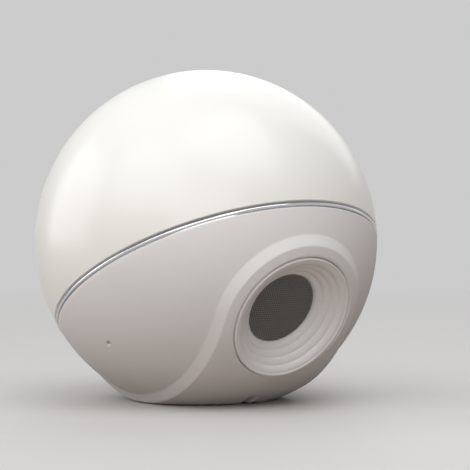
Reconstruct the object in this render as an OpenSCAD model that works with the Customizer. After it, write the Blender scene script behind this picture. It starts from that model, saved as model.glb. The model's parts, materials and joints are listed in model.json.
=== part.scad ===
// Ball-shaped smart speaker: an opal dome over a white housing with a horn at the front.
// Millimetres. The origin is the middle of the base on the table, +Z up, the horn faces -Y.

/* [Ball] */
// Diameter of the ball
ball_d = 115; // [110:1:124]
// How much of the ball the flat base cuts off
base_sink = 4.1; // [3.8:0.1:4.6]
// How far the rubber foot stands below the housing
foot_proud = 0.5; // [0.4:0.1:1]
// Wall of the dome
dome_wall = 2; // [1.5:0.1:2.4]
// Wall of the housing
housing_wall = 2.5; // [2.2:0.1:2.8]

/* [Seam] */
// Backward tilt of the dome and its seam
dome_tilt = 28.3; // [26:0.1:30]
// Distance from the ball's centre down to the seam's plane
seam_drop = 14.6; // [14:0.1:16]
// Height of the bright bead of the trim ring
trim_h = 1; // [0.9:0.1:1.2]
// Shadow gap between the bead and the housing
trim_gap = 0.4; // [0.3:0.05:0.5]
// Shadow gap between the bead and the dome
dome_gap = 0.65; // [0.5:0.05:0.8]
// How far the bead stands out of the ball
trim_proud = 0.2; // [0.1:0.05:0.4]
// Width of the trim ring under the dome, from the ball's surface inwards
trim_w = 3; // [2.6:0.1:3.2]
// Thickness of the dome's gasket
gasket_h = 0.6; // [0.4:0.1:0.8]

/* [Front pod] */
// Width of the raised pod that runs down to the base
pod_w = 56.4; // [56:0.2:60]
// Radius of the pod's crowned face
pod_crown_r = 75; // [70:1:90]
// How far the middle of the pod stands out of the ball
pod_proud = 0.1; // [0.05:0.05:0.3]
// Width of the bevelled band, measured across the pod
band_w = 2.6; // [2.4:0.1:3.2]

/* [Horn] */
// Downward tilt of the horn's axis
horn_tilt = 25.6; // [24:0.2:27]
// Diameter of the horn's rim
horn_d = 43.2; // [42.6:0.1:43.8]
// Depth of the horn's rim plane below the ball's surface
horn_sink = 3; // [2.8:0.1:3.4]
// Depth of the horn from its rim to the grille
horn_depth = 7.2; // [6.4:0.1:7.6]
// Groove between the horn's rim and the housing
horn_groove = 0.2; // [0.15:0.05:0.5]
// Number of round steps in the horn
horn_steps = 4; // [3:1:5]
// Diameter of the visible grille
grille_d = 25; // [24:0.1:26]
// Thickness of the grille sheet
grille_t = 0.5; // [0.4:0.1:0.6]
// Pitch of the grille's holes
grille_pitch = 0.9; // [0.85:0.05:1.2]
// Diameter of one hole in the grille
grille_hole_d = 0.6; // [0.5:0.05:0.65]
// Thickness of the horn's mounting flange
horn_flange_t = 1.7; // [1.5:0.1:2]

/* [Driver] */
// Outer diameter of the driver
driver_d = 40; // [39.6:0.1:40.2]
// Diameter of the cone with its inner glue edge
cone_d = 24.2; // [23.6:0.1:25]
// Depth of the cone
cone_depth = 7.2; // [6.6:0.1:7.4]
// Thickness of the cone's paper
cone_t = 0.4; // [0.3:0.05:0.5]
// Radius of the surround's half roll
roll_r = 1.3; // [1.1:0.1:1.4]
// Bore of the voice coil's former
former_bore = 12.9; // [12.7:0.1:13.1]
// Wall of the voice coil's former
former_t = 0.15; // [0.1:0.01:0.2]
// Build-up of the copper winding
winding_t = 0.4; // [0.3:0.05:0.45]
// Length of the winding
winding_l = 4.5; // [4:0.1:5]
// Clear space on either side of the moving coil
coil_gap = 0.35; // [0.3:0.05:0.5]
// Thickness of the front pole plate
top_plate_t = 2.5; // [2.2:0.1:2.8]
// Diameter of the magnet
magnet_d = 28; // [26:0.5:28.5]
// Thickness of the magnet
magnet_t = 5.5; // [5:0.1:6]
// Thickness of the yoke's back plate
yoke_t = 2.5; // [2.2:0.1:2.8]
// Largest travel of the cone, each way
cone_travel = 1.2; // [1:0.1:1.3]
// Thickness of the driver's foam gasket
driver_gasket_t = 1.5; // [1.5:0.1:1.8]

/* [Speaker chamber] */
// Wall of the sealed chamber behind the driver
chamber_wall = 1.8; // [1.5:0.1:2]
// Depth of the chamber behind its flange
chamber_depth = 26; // [25.5:0.1:26.5]
// Diameter of the flange that the chamber and the horn share
horn_flange_d = 52.8; // [52:0.1:53]

/* [Deck] */
// Space between the speaker chamber and the deck above it
deck_room = 1; // [0.5:0.1:2]
// Thickness of the deck
deck_t = 2; // [1.6:0.1:2.2]
// Width of the deck's screwed rim
deck_rim_w = 6; // [5.5:0.1:6.5]
// Room for the dome's hooks between the trim ring and the deck
hook_room = 3; // [2.6:0.1:3.4]
// Height of the ledge that carries the deck
ledge_h = 2.5; // [2.2:0.1:2.8]
// Number of dome hooks
hook_count = 6; // [6:6:6]
// Width of a dome hook
hook_w = 8; // [6:0.5:9]

/* [Electronics] */
// Width of the main board
board_w = 56; // [54:0.5:57]
// Length of the main board
board_l = 44; // [42:0.5:45]
// Thickness of the circuit boards
board_t = 1.6; // [1.2:0.1:1.6]
// Height of the main board's standoffs
standoff_h = 3; // [2.5:0.1:4]
// Side of the shield over the processor
shield_side = 24; // [22:0.5:26]
// Side of the processor
chip_side = 14; // [12:0.5:15]

/* [Light] */
// Height of the light tray above the deck
tray_rise = 15.5; // [14.5:0.1:16]
// Space around the tray's screw heads, inside the diffuser
diffuser_room = 1.4; // [1:0.1:2]
// Number of light-emitting diodes
led_count = 12; // [8:2:16]
// Diameter of the circle of diodes
led_circle_d = 56; // [50:1:58]
// Radius of the bowed diffuser
diffuser_r = 46; // [44:0.5:48]
// Wall of the diffuser
diffuser_wall = 1.2; // [1:0.1:1.5]

/* [Microphone] */
// Turn of the microphone from the horn's side towards the left
mic_turn = 76; // [74:0.5:79]
// Angle of the microphone below the ball's middle
mic_dip = 33.8; // [32:0.2:36]
// Diameter of the microphone's hole
mic_hole_d = 1.2; // [1:0.1:1.6]

/* [Base] */
// Width of the housing's foot around the base plate
base_rim_w = 4.2; // [4:0.1:5]
// Thickness of the base plate
plate_t = 2.6; // [2.4:0.1:2.8]
// Width of the base plate's rim around the rubber foot
foot_rim_w = 1.3; // [1.1:0.1:2]
// How deep the rubber foot is let into the base plate
foot_inset = 1; // [0.8:0.1:1.2]
// Diameter of the well for the power plug
well_d = 11.2; // [10.8:0.1:11.6]
// Height of the plug well above the table
well_h = 8.6; // [8:0.1:9]
// Width of the cable channel
channel_w = 4.4; // [4:0.1:5]
// Diameter of the reset button
button_d = 3.6; // [3:0.1:4]
// Travel of the reset button
button_travel = 0.5; // [0.3:0.05:0.6]

/* [Clearances] */
// Gap between pieces that slide or move past each other
run_gap = 0.3; // [0.2:0.05:0.4]
// Gap around a piece that drops into its seat
seat_gap = 0.2; // [0.1:0.05:0.3]
// Gap around a screw in its hole
screw_gap = 0.1; // [0.05:0.05:0.2]

/* [Hidden] */
$fn = 64;
ball_fn = 160;

// Ball and its cut planes.
ball_r = ball_d / 2;
centre_h = ball_r - base_sink;
far = 2 * ball_d;
base_z = foot_proud;
floor_top = base_z + plate_t + 1.5;

// Seam, measured along the dome's axis from the ball's centre.
rim_z = -seam_drop - trim_h / 2 - trim_gap;
dome_rim_z = -seam_drop + trim_h / 2 + dome_gap;
seam_r = sqrt(ball_r * ball_r - seam_drop * seam_drop);
trim_in_r = seam_r - trim_w;
neck_r = seam_r - 1;

// Ledge, deck and dome hooks. The deck's raised middle clears the speaker chamber, whose axis
// leans from the dome's axis by chamber_lean.
hook_in_r = trim_in_r - hook_room;
deck_r = hook_in_r - 2 * run_gap;
ledge_z = rim_z - ledge_h;
hat_r = deck_r - deck_rim_w;
ledge_in_r = hat_r + 1.5;
hook_t = 1.3;
barb_w = 1.3;
barb_h = 1.2;
deck_screw_r = deck_r - 2.4;
hole_circle_r = 34;
hole_pitch = 10;
lead_hole_r = 2;
power_hole_y = 30;

// Screws and the bosses that they are driven into.
screw_r = 1;
head_r = 1.9;
head_h = 1.3;
boss_r = 2.6;
boss_h = 5;
screw_bite = 4.5;
short_bite = 2.3;

// Pod section: half width, height of the band's foot on the ball, and the band's rise to the
// crowned face. The band's sides are drawn past both its ends by band_reach.
pod_half = pod_w / 2;
pod_foot = sqrt(ball_r * ball_r - pod_half * pod_half);
crown_mid = ball_r + pod_proud - pod_crown_r;
band_h = crown_mid + sqrt(pod_crown_r * pod_crown_r - pow(pod_half - band_w, 2)) - pod_foot;
band_l = norm([band_w, band_h]);
band_reach = 12;

// Horn stack, measured along the horn's axis from the ball's centre.
horn_r = horn_d / 2;
rim_s = ball_r - horn_sink;
lip_s = rim_s - horn_depth;
lip_t = 0.5;
grille_s = lip_s - lip_t - grille_t;
grille_r = grille_d / 2;
grille_seat_r = grille_r + 1;
flange_r = horn_flange_d / 2;
flange_top = grille_s + horn_flange_t;
bead_w = 1;
horn_screw_r = horn_r + 2.7;

// Driver stack, measured along the same axis.
driver_r = driver_d / 2;
landing_t = 0.4;
landing_s = grille_s - driver_gasket_t;
basket_s = landing_s - landing_t;
basket_flange_t = 1.6;
cone_r = cone_d / 2;
roll_mid_r = cone_r + roll_r;
roll_out_r = cone_r + 2 * roll_r;
former_in = former_bore / 2;
former_out = former_in + former_t;
winding_out = former_out + winding_t;
pole_r = former_in - coil_gap;
gap_bore_r = winding_out + coil_gap;
neck_s = basket_s - cone_depth;
spider_s = neck_s - 0.8;
spider_t = 0.4;
spider_out = 12.6;
basket_floor_s = basket_s - 11.1;
plate_s = basket_floor_s;
magnet_s = plate_s - top_plate_t;
yoke_s = magnet_s - magnet_t;
top_plate_r = magnet_d / 2 - 2;
magnet_bore_r = gap_bore_r + 1.2;
yoke_r = magnet_d / 2 - 1;
coil_mid_s = plate_s - top_plate_t / 2;
former_back = coil_mid_s - winding_l / 2 - 0.3;
driver_screw_r = driver_r - 1.6;
driver_screw_scale = 0.8;
basket_bore_r = roll_out_r + landing_t;
cone_edge_r = cone_r - 0.3;
cone_lip_r = cone_edge_r - 0.9;
neck_lip = 0.6;
terminal_r = driver_r - 2.6;
terminal_size = [1, 8, 4];
tab_l = 2.5;
lead_r = 0.7;
wire_s = basket_s - basket_flange_t - terminal_size.z - tab_l - lead_r - 0.1;

// Chamber behind the driver.
chamber_flange_t = 1.5;
chamber_in = driver_r + 0.5;
chamber_out = chamber_in + chamber_wall;
chamber_flange_s = grille_s - chamber_flange_t;
chamber_back_s = chamber_flange_s - chamber_depth;
chamber_bend_s = chamber_back_s + 11;
chamber_back_r = yoke_r + 1.7;

// Height of the chamber's highest corner along the dome's axis, and the deck above it.
chamber_lean = 90 - dome_tilt - horn_tilt;
chamber_peak = max(
  chamber_back_r * sin(chamber_lean) - chamber_back_s * cos(chamber_lean),
  chamber_out * sin(chamber_lean) - chamber_bend_s * cos(chamber_lean)
);
deck_top = chamber_peak + deck_room + deck_t;

// Boards on the deck.
board_z = deck_top + standoff_h;
board_top = board_z + board_t;
board_hole_x = board_w / 2 - 3;
board_hole_y = board_l / 2 - 3;
shield_h = 3;
shield_t = 0.2;
chip_h = 1.2;
chip_place = [-6, 2];
spreader_t = 1.5;
connector_size = [4, 6];
connector_h = 3;
connector_inset = 3;
connector_place = board_w / 2 - 5;
capacitor_r = 2.4;
capacitor_h = 5.5;
capacitor_x = connector_place - 9;
capacitor_places = [-14, -8, 9, 15];
antenna_size = [22, 0.8, 9];
lead_rise = 3;
lead_gap = 0.3;

// Light above the deck.
tray_z = deck_top + tray_rise;
tray_t = 1.5;
tray_top = tray_z + tray_t;
tray_rim_w = 1.2;
post_r = 2.5;
light_board_r = led_circle_d / 2 + 5.5;
light_board_t = 1.2;
post_circle_r = light_board_r + 3;
diffuser_foot_r = post_circle_r + head_r + diffuser_room + diffuser_wall;
tray_r = diffuser_foot_r + seat_gap + tray_rim_w;
diffuser_z = tray_top - sqrt(diffuser_r * diffuser_r - diffuser_foot_r * diffuser_foot_r);

// Microphone stack, measured from the ball's centre through its hole.
mic_seat_s = ball_r - housing_wall - 2;
mic_boot_t = 2.5;
mic_boot_r = 3.5;
mic_chip = [4, 3, 1.1];
mic_board_size = [13, 9, 0.8];
mic_board_s = mic_seat_s - mic_boot_t - mic_chip.z - mic_board_size.z;
mic_peg_x = mic_board_size.x / 2 - 1.5;

// Base plate, plug well, power board and reset button.
plate_r = sqrt(ball_r * ball_r - pow(centre_h - base_z, 2)) - base_rim_w;
foot_r = plate_r - foot_rim_w;
plate_top = base_z + plate_t;
ledge_bore_r = plate_r - 4.1;
base_screw_circle_r = plate_r - 2.6;
head_pocket = 0.8;
well_r = well_d / 2;
well_wall = 1.2;
well_y = -(well_r + 1.4);
ceiling_t = 1.4;
jack_side = 9.2;
jack_h = 8.5;
jack_collar_r = 4;
jack_bore_r = 2.8;
jack_base = well_h + ceiling_t;
power_board_z = jack_base + jack_h;
power_board_size = [26, 25];
power_post_r = 2.2;
power_posts = [[-10, -5], [10, -5], [-4, 11]];
button_place = [8, 5];
button_r = button_d / 2;
button_rim_z = foot_proud + 0.4;
guide_wall = 1.2;
guide_top = plate_top + 6;
switch_side = 6;
switch_h = 3.5;
switch_z = power_board_z - switch_h;
stem_r = 1.2;
stem_l = 2;
ballast_h = 5;
ballast_in = plate_r + 2;
ballast_out = plate_r + 6.4;

// A point given in the dome's frame or in the horn's frame, in the part's own frame.
function dome_point(p) = [
  p.x,
  p.y * cos(dome_tilt) + p.z * sin(dome_tilt),
  centre_h - p.y * sin(dome_tilt) + p.z * cos(dome_tilt)
];
function horn_point(p) = [
  p.x,
  -p.y * sin(horn_tilt) - p.z * cos(horn_tilt),
  centre_h + p.y * cos(horn_tilt) - p.z * sin(horn_tilt)
];

function mic_point(p) =
  let (back = -p.y * sin(mic_dip) - p.z * cos(mic_dip))
  [
    p.x * cos(mic_turn) + back * sin(mic_turn),
    -p.x * sin(mic_turn) + back * cos(mic_turn),
    centre_h + p.y * cos(mic_dip) - p.z * sin(mic_dip)
  ];

// Points of a lead that rises through the deck at a hole and ends at a connector on the board.
function through_deck(hole, end) = [
  dome_point([hole.x, hole.y, deck_top - 3 * lead_rise]),
  dome_point([hole.x, hole.y, deck_top - lead_rise]),
  dome_point([hole.x, hole.y, deck_top + lead_rise / 2]),
  dome_point([(hole.x + end.x) / 2, (hole.y + end.y) / 2, board_top + connector_h / 2 + 0.8]),
  dome_point([end.x, end.y, board_top + connector_h / 2])
];

module dome_frame() {
  translate([0, 0, centre_h]) rotate([-dome_tilt, 0, 0]) children();
}

module horn_frame() {
  translate([0, 0, centre_h]) rotate([90 + horn_tilt, 0, 0]) children();
}

module mic_frame() {
  translate([0, 0, centre_h]) rotate([0, 0, -mic_turn]) rotate([90 + mic_dip, 0, 0]) children();
}

module ring(outer, inner, low, high) {
  translate([0, 0, low])
    linear_extrude(high - low)
      difference() {
        circle(outer);
        circle(inner);
      }
}

module disc(radius, low, high) {
  translate([0, 0, low]) cylinder(h = high - low, r = radius);
}

// A block centred on X and Y that stands on low.
module block(size, low) {
  translate([-size.x / 2, -size.y / 2, low]) cube(size);
}

module around(count, radius, first = 0) {
  for (turn = [0 : count - 1])
    rotate(first + 360 * turn / count) translate([radius, 0, 0]) children();
}

// A screw whose head stands on z = 0 and whose shank goes down.
module screw(length, head = head_h, size = 1) {
  difference() {
    disc(size * head_r, 0, head);
    for (turn = [0, 90])
      rotate(turn) block([size * 2.2, size * 0.5, head], head / 2);
  }
  disc(size * screw_r, -length, 0);
}

// The hole that a screw passes, or is driven into, from low to high.
module screw_hole(low, high, size = 1) {
  disc(size * screw_r + screw_gap, low, high);
}

// Points of a Catmull-Rom curve through the given points.
function spline_point(a, b, c, d, t) =
  0.5 * (2 * b + (c - a) * t + (2 * a - 5 * b + 4 * c - d) * t * t + (3 * b - a - 3 * c + d) * t * t * t);
function spline(points, steps = 4) = [
  for (leg = [0 : len(points) - 2])
    for (step = [0 : steps - (leg == len(points) - 2 ? 0 : 1)])
      spline_point(
        points[max(leg - 1, 0)], points[leg], points[leg + 1],
        points[min(leg + 2, len(points) - 1)], step / steps
      )
];
function unit(v) = v / norm(v);

// A round lead of the given radius along a path; side is never in line with the path.
module lead(points, radius, side) {
  path = spline(points);
  last = len(path) - 1;
  sides = 8;
  corners = [
    for (i = [0 : last])
      let (
        along = unit(path[min(i + 1, last)] - path[max(i - 1, 0)]),
        across = unit(cross(along, side)),
        over = cross(along, across)
      )
      for (k = [0 : sides - 1])
        path[i] + radius * (cos(360 * k / sides) * across + sin(360 * k / sides) * over)
  ];
  walls = [
    for (i = [0 : last - 1])
      for (k = [0 : sides - 1])
        let (next = (k + 1) % sides)
        [i * sides + k, i * sides + next, (i + 1) * sides + next, (i + 1) * sides + k]
  ];
  start = [for (k = [sides - 1 : -1 : 0]) k];
  end = [for (k = [0 : sides - 1]) last * sides + k];
  polyhedron(
    points = corners,
    faces = [for (f = concat(walls, [start, end])) [for (k = [len(f) - 1 : -1 : 0]) f[k]]]
  );
}

// The room that the speaker chamber and the horn's flange take, with a gap around them.
module speaker_room() {
  horn_frame() {
    disc(chamber_out + run_gap, chamber_bend_s, flange_top);
    translate([0, 0, chamber_back_s - run_gap])
      cylinder(
        h = chamber_bend_s - chamber_back_s + run_gap,
        r1 = chamber_back_r + run_gap, r2 = chamber_out + run_gap
      );
    disc(flange_r + run_gap, chamber_flange_s - head_h - run_gap, flange_top);
  }
}

// ---- Ball, pod and housing ----

// Section of the pod across its width, moved inwards by inset.
module pod_section(inset = 0) {
  foot = [pod_half - inset * band_h / band_l, pod_foot - inset * band_w / band_l];
  reach = [band_reach, -band_reach * band_h / band_w];
  low = foot + reach;
  high = foot - reach;
  intersection() {
    translate([0, crown_mid]) circle(pod_crown_r - inset, $fn = ball_fn);
    polygon([[-low.x, low.y], [-high.x, high.y], high, low]);
  }
}

// The pod: an arch turned about the horn's axis, and a strip turned about the ball's X axis.
module pod_body(inset = 0) {
  horn_frame() {
    rotate_extrude(angle = 180, $fn = ball_fn)
      intersection() {
        pod_section(inset);
        square([ball_r, ball_r + 10]);
      }
    rotate([0, 90, 0])
      rotate([0, 0, 180])
        rotate_extrude(angle = 130, $fn = ball_fn)
          rotate(-90) mirror([1, 0]) pod_section(inset);
  }
}

module housing_form(inset) {
  translate([0, 0, centre_h]) sphere(ball_r - inset, $fn = ball_fn);
  pod_body(inset);
}

module below_plane(z) {
  translate([0, 0, z - far]) block([far, far, far], 0);
}

module above_plane(z) {
  block([far, far, far], z);
}

module housing_shell() {
  difference() {
    intersection() {
      housing_form(0);
      dome_frame() below_plane(rim_z);
      above_plane(base_z);
    }
    intersection() {
      housing_form(housing_wall);
      above_plane(floor_top);
    }
  }
}

module housing_ribs() {
  difference() {
    dome_frame() {
      ring(seam_r - housing_wall / 2, ledge_in_r, ledge_z, rim_z);
      around(4, deck_screw_r, 45) disc(boss_r, ledge_z - boss_h + 1, ledge_z + 1);
    }
    speaker_room();
  }
  intersection() {
    horn_frame() ring(flange_r + 1, horn_r, flange_top, rim_s);
    housing_form(housing_wall / 4);
  }
  mic_frame() {
    disc(mic_boot_r + 1, mic_seat_s, ball_r - housing_wall / 2);
    for (side = [-1, 1])
      translate([side * mic_peg_x, 0, 0]) {
        disc(1.3, mic_board_s + mic_board_size.z, ball_r - housing_wall / 2);
        disc(0.8, mic_board_s - 0.7, ball_r - housing_wall / 2);
      }
  }
  around(4, base_screw_circle_r, 45) disc(boss_r, floor_top - 1, floor_top + boss_h);
}

module lower_housing() {
  color("#e9e6e6")
    difference() {
      union() {
        housing_shell();
        housing_ribs();
      }
      dome_frame() {
        around(4, deck_screw_r, 45) screw_hole(ledge_z - 3, rim_z + 1);
        around(hook_count, hook_in_r + hook_t / 2)
          block([hook_t + 2 * run_gap, hook_w + 2 * run_gap, ledge_h + 2], ledge_z - 1);
      }
      horn_frame() {
        disc(horn_r + horn_groove, flange_top - 5, ball_r + 5);
        around(4, horn_screw_r, 45) screw_hole(flange_top - 1, rim_s - 3);
      }
      mic_frame() disc(mic_hole_d / 2, mic_seat_s - 1, ball_r + 1);
      disc(plate_r + seat_gap, base_z - 1, plate_top);
      disc(ledge_bore_r, base_z, floor_top + boss_h + 1);
      plate_uprights(seat_gap);
      around(4, base_screw_circle_r, 45) screw_hole(base_z, floor_top + boss_h - 1);
      translate([-channel_w / 2, -ball_r, base_z - 1]) cube([channel_w, ball_r, plate_t + 1]);
    }
}

module dome_shell() {
  color("#f6f5ee")
    dome_frame()
      difference() {
        union() {
          intersection() {
            difference() {
              sphere(ball_r, $fn = ball_fn);
              sphere(ball_r - dome_wall, $fn = ball_fn);
            }
            above_plane(dome_rim_z);
          }
          ring(seam_r - 1.2, trim_in_r, dome_rim_z, dome_rim_z + 2);
          around(hook_count, 0) dome_hook();
        }
      }
}

module dome_hook() {
  hook_low = ledge_z - run_gap - barb_h;
  translate([hook_in_r, -hook_w / 2, dome_rim_z]) cube([trim_in_r - hook_in_r + 1, hook_w, 2]);
  translate([hook_in_r, -hook_w / 2, hook_low]) cube([hook_t, hook_w, dome_rim_z + 2 - hook_low]);
  translate([hook_in_r - barb_w, -hook_w / 2, hook_low]) cube([barb_w + hook_t, hook_w, barb_h]);
}

module dome_gasket() {
  color("#5c5c5e")
    dome_frame() ring(neck_r - 0.6, trim_in_r + 0.1, dome_rim_z - gasket_h, dome_rim_z);
}

module trim_ring() {
  bead_r = trim_h / 2;
  bead_mid_r = seam_r + trim_proud - bead_r;
  color("#c9cbce")
    dome_frame()
      rotate_extrude($fn = ball_fn) {
        translate([trim_in_r, rim_z]) square([neck_r - trim_in_r, dome_rim_z - gasket_h - rim_z]);
        translate([neck_r - 0.5, -seam_drop - bead_r]) square([bead_mid_r - neck_r + 0.5, trim_h]);
        translate([bead_mid_r, -seam_drop]) circle(bead_r);
      }
}

// ---- Base ----

module channel_cut(low, high) {
  translate([-channel_w / 2, -ball_r, low]) cube([channel_w, ball_r + well_y, high - low]);
}

// What stands on the base plate: the plug well, the button's guide and the power board's posts.
module plate_uprights(gap = 0) {
  translate([0, well_y, 0]) disc(well_r + well_wall + gap, base_z, jack_base);
  translate(button_place) disc(button_r + run_gap + guide_wall + gap, base_z, guide_top);
  for (place = power_posts)
    translate(place) disc(power_post_r + gap, plate_top - 1, power_board_z);
}

module base_plate() {
  color("#d6d4d4")
    difference() {
      union() {
        disc(plate_r, base_z, plate_top);
        plate_uprights();
        intersection() {
          translate([-channel_w / 2 - well_wall, -ball_r, base_z])
            cube([channel_w + 2 * well_wall, ball_r + well_y, plate_t + well_wall]);
          disc(ledge_bore_r - seat_gap, base_z, floor_top);
        }
      }
      disc(foot_r + seat_gap, base_z - 1, base_z + foot_inset);
      translate([0, well_y, 0]) {
        disc(well_r, base_z - 1, well_h);
        disc(jack_collar_r + seat_gap, base_z, jack_base + 1);
      }
      channel_cut(base_z - 1, plate_top);
      translate(button_place) disc(button_r + run_gap, base_z - 1, guide_top + 1);
      around(4, base_screw_circle_r, 45) {
        disc(head_r + screw_gap, base_z, plate_top - head_pocket);
        screw_hole(base_z, plate_top + 1);
      }
      for (place = power_posts)
        translate(place) screw_hole(power_board_z - 6, power_board_z + 1);
    }
}

module base_screws() {
  head = plate_t - head_pocket - foot_inset;
  color("#8f9194")
    around(4, base_screw_circle_r, 45)
      translate([0, 0, plate_top - head_pocket]) mirror([0, 0, 1]) screw(head_pocket + screw_bite, head);
}

module rubber_foot() {
  color("#3b3b3d")
    difference() {
      disc(foot_r, 0, base_z + foot_inset);
      translate([0, well_y, 0]) disc(well_r + seat_gap, -1, base_z + foot_inset + 1);
      channel_cut(-1, base_z + foot_inset + 1);
      translate(button_place) disc(button_r + 2 * run_gap, -1, base_z + foot_inset + 1);
    }
}

module ballast_weight() {
  color("#77797c")
    translate([0, 0, floor_top])
      rotate_extrude(angle = 180, $fn = 96)
        translate([ballast_in, 0]) square([ballast_out - ballast_in, ballast_h]);
}

// ---- Horn and grille ----

// Outline points of the stepped flare, from the grille out to the rim's bead.
function flare_points() =
  let (
    first_r = grille_r, last_r = horn_r - bead_w,
    step_w = (last_r - first_r) / horn_steps,
    step_h = (horn_depth - 0.3) / horn_steps
  )
  [
    for (step = [0 : horn_steps - 1])
      for (arc = [0 : 18 : 90])
        [
          first_r + step * step_w + step_w * (1 - cos(arc)),
          lip_s + step * step_h + step_h * sin(arc)
        ]
  ];

module horn_bezel() {
  color("#efecec")
    horn_frame()
      difference() {
        rotate_extrude($fn = 96)
          polygon(concat(
            [[grille_r, grille_s]],
            flare_points(),
            [
              [horn_r - 0.7 * bead_w, rim_s],
              [horn_r - 0.2 * bead_w, rim_s],
              [horn_r, rim_s - 0.2 * bead_w],
              [horn_r, flange_top],
              [flange_r, flange_top],
              [flange_r, grille_s]
            ]
          ));
        disc(grille_seat_r + screw_gap, grille_s - 1, grille_s + grille_t);
        around(4, horn_screw_r, 45) screw_hole(grille_s - 1, flange_top + 1);
        around(4, driver_screw_r, 45) screw_hole(grille_s - 1, grille_s + 2.2, driver_screw_scale);
      }
}

module grille_mesh() {
  row_pitch = grille_pitch * sqrt(3) / 2;
  rows = floor(grille_r / row_pitch);
  cols = ceil(grille_r / grille_pitch);
  color("#4f4a48")
    horn_frame()
      translate([0, 0, grille_s])
        linear_extrude(grille_t)
          difference() {
            circle(grille_seat_r);
            for (row = [-rows : rows])
              for (col = [-cols : cols]) {
                place = [(col + abs(row) % 2 / 2) * grille_pitch, row * row_pitch];
                if (norm(place) < grille_r - grille_hole_d / 2 - 0.1)
                  translate(place) circle(grille_hole_d / 2, $fn = 16);
              }
          }
}

// ---- Driver ----

module driver_gasket() {
  color("#2c2c2e")
    horn_frame()
      difference() {
        ring(driver_r, roll_out_r, landing_s, grille_s);
        around(4, driver_screw_r, 45) screw_hole(landing_s - 1, grille_s + 1, driver_screw_scale);
      }
}

module driver_basket() {
  wall_out = driver_r - 3.2;
  foot_out = top_plate_r + 2.2;
  back_s = basket_s - basket_flange_t;
  color("#6d6f72")
    horn_frame()
      difference() {
        rotate_extrude($fn = 96)
          polygon([
            [basket_bore_r, basket_s],
            [driver_r, basket_s],
            [driver_r, back_s],
            [wall_out, back_s],
            [foot_out, basket_floor_s + 1],
            [foot_out, basket_floor_s],
            [gap_bore_r + 1.5, basket_floor_s],
            [gap_bore_r + 1.5, basket_floor_s + 1],
            [spider_out - 0.6, basket_floor_s + 1],
            [spider_out - 0.6, spider_s],
            [spider_out + 0.3, spider_s],
            [basket_bore_r, back_s]
          ]);
        for (turn = [45 : 90 : 315])
          rotate(turn)
            translate([spider_out, -4, spider_s + spider_t + 0.8])
              cube([driver_r, 8, back_s - spider_s - spider_t - 1.6]);
        around(4, driver_screw_r, 45) screw_hole(back_s - 1, basket_s + 1, driver_screw_scale);
      }
}

module driver_surround() {
  color("#2a2a2b")
    horn_frame()
      difference() {
        rotate_extrude($fn = 96) {
          translate([roll_out_r - landing_t, basket_s])
            square([driver_r - roll_out_r + landing_t, landing_t]);
          translate([cone_r - 0.9, basket_s]) square([0.9 + landing_t, landing_t]);
          translate([roll_mid_r, basket_s + landing_t])
            intersection() {
              difference() {
                circle(roll_r + landing_t / 2);
                circle(roll_r - landing_t / 2);
              }
              translate([-2 * roll_r, -2 * roll_r]) square([4 * roll_r, 2 * roll_r]);
            }
        }
        around(4, driver_screw_r, 45) screw_hole(basket_s - 1, basket_s + 1, driver_screw_scale);
      }
}

module driver_cone() {
  inner = former_out;
  color("#3a3a3c")
    horn_frame()
      rotate_extrude($fn = 96)
        polygon([
          [cone_edge_r, basket_s],
          [cone_edge_r, basket_s - cone_t],
          [cone_lip_r + 0.1, basket_s - cone_t],
          [inner + cone_t, neck_s],
          [inner + cone_t, neck_s - cone_t],
          [inner, neck_s - cone_t],
          [inner, neck_s + neck_lip],
          [cone_lip_r, basket_s]
        ]);
}

module dust_cap() {
  cap_r = former_out + 1;
  cap_h = 2.2;
  bow_r = (cap_r * cap_r + cap_h * cap_h) / (2 * cap_h);
  slope = (basket_s - neck_s - neck_lip) / (cone_lip_r - former_out);
  cap_s = neck_s + neck_lip + slope + 0.1;
  color("#333335")
    horn_frame()
      translate([0, 0, cap_s])
        intersection() {
          difference() {
            translate([0, 0, cap_h - bow_r]) sphere(bow_r, $fn = 96);
            translate([0, 0, cap_h - bow_r]) sphere(bow_r - 0.3, $fn = 96);
          }
          disc(cap_r, 0, cap_h + 1);
        }
}

module coil_former() {
  color("#b98c52")
    horn_frame() ring(former_out, former_in, former_back, neck_s + neck_lip);
}

module voice_coil() {
  color("#b5653a")
    horn_frame()
      ring(winding_out, former_out, coil_mid_s - winding_l / 2, coil_mid_s + winding_l / 2);
}

module driver_spider() {
  waves = 3;
  steps = 24;
  flat_w = 0.6;
  wave_h = 0.35;
  inner = former_out;
  function wave_r(i) = inner + flat_w + (spider_out - inner - 2 * flat_w) * i / steps;
  function wave_s(i) = spider_s + wave_h * sin(360 * waves * i / steps);
  color("#c9a24b")
    horn_frame()
      rotate_extrude($fn = 64)
        polygon(concat(
          [[inner, spider_s]],
          [for (i = [0 : steps]) [wave_r(i), wave_s(i)]],
          [[spider_out, spider_s], [spider_out, spider_s + spider_t]],
          [for (i = [steps : -1 : 0]) [wave_r(i), wave_s(i) + spider_t]],
          [[inner, spider_s + spider_t]]
        ));
}

module top_plate() {
  color("#9a9c9f") horn_frame() ring(top_plate_r, gap_bore_r, magnet_s, plate_s);
}

module driver_magnet() {
  color("#3f4042") horn_frame() ring(magnet_d / 2, magnet_bore_r, yoke_s, magnet_s);
}

module driver_yoke() {
  color("#8f9194")
    horn_frame() {
      disc(yoke_r, yoke_s - yoke_t, yoke_s);
      disc(pole_r, yoke_s - 1, plate_s);
    }
}

module driver_terminals() {
  plate_low = basket_s - basket_flange_t - terminal_size.z;
  color("#9c7b3e")
    horn_frame()
      translate([-terminal_r, 0, 0]) {
        block(terminal_size, plate_low);
        for (side = [-1, 1])
          translate([0, side * 2.2, 0]) block([0.5, 1.2, tab_l], plate_low - tab_l);
      }
}

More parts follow.
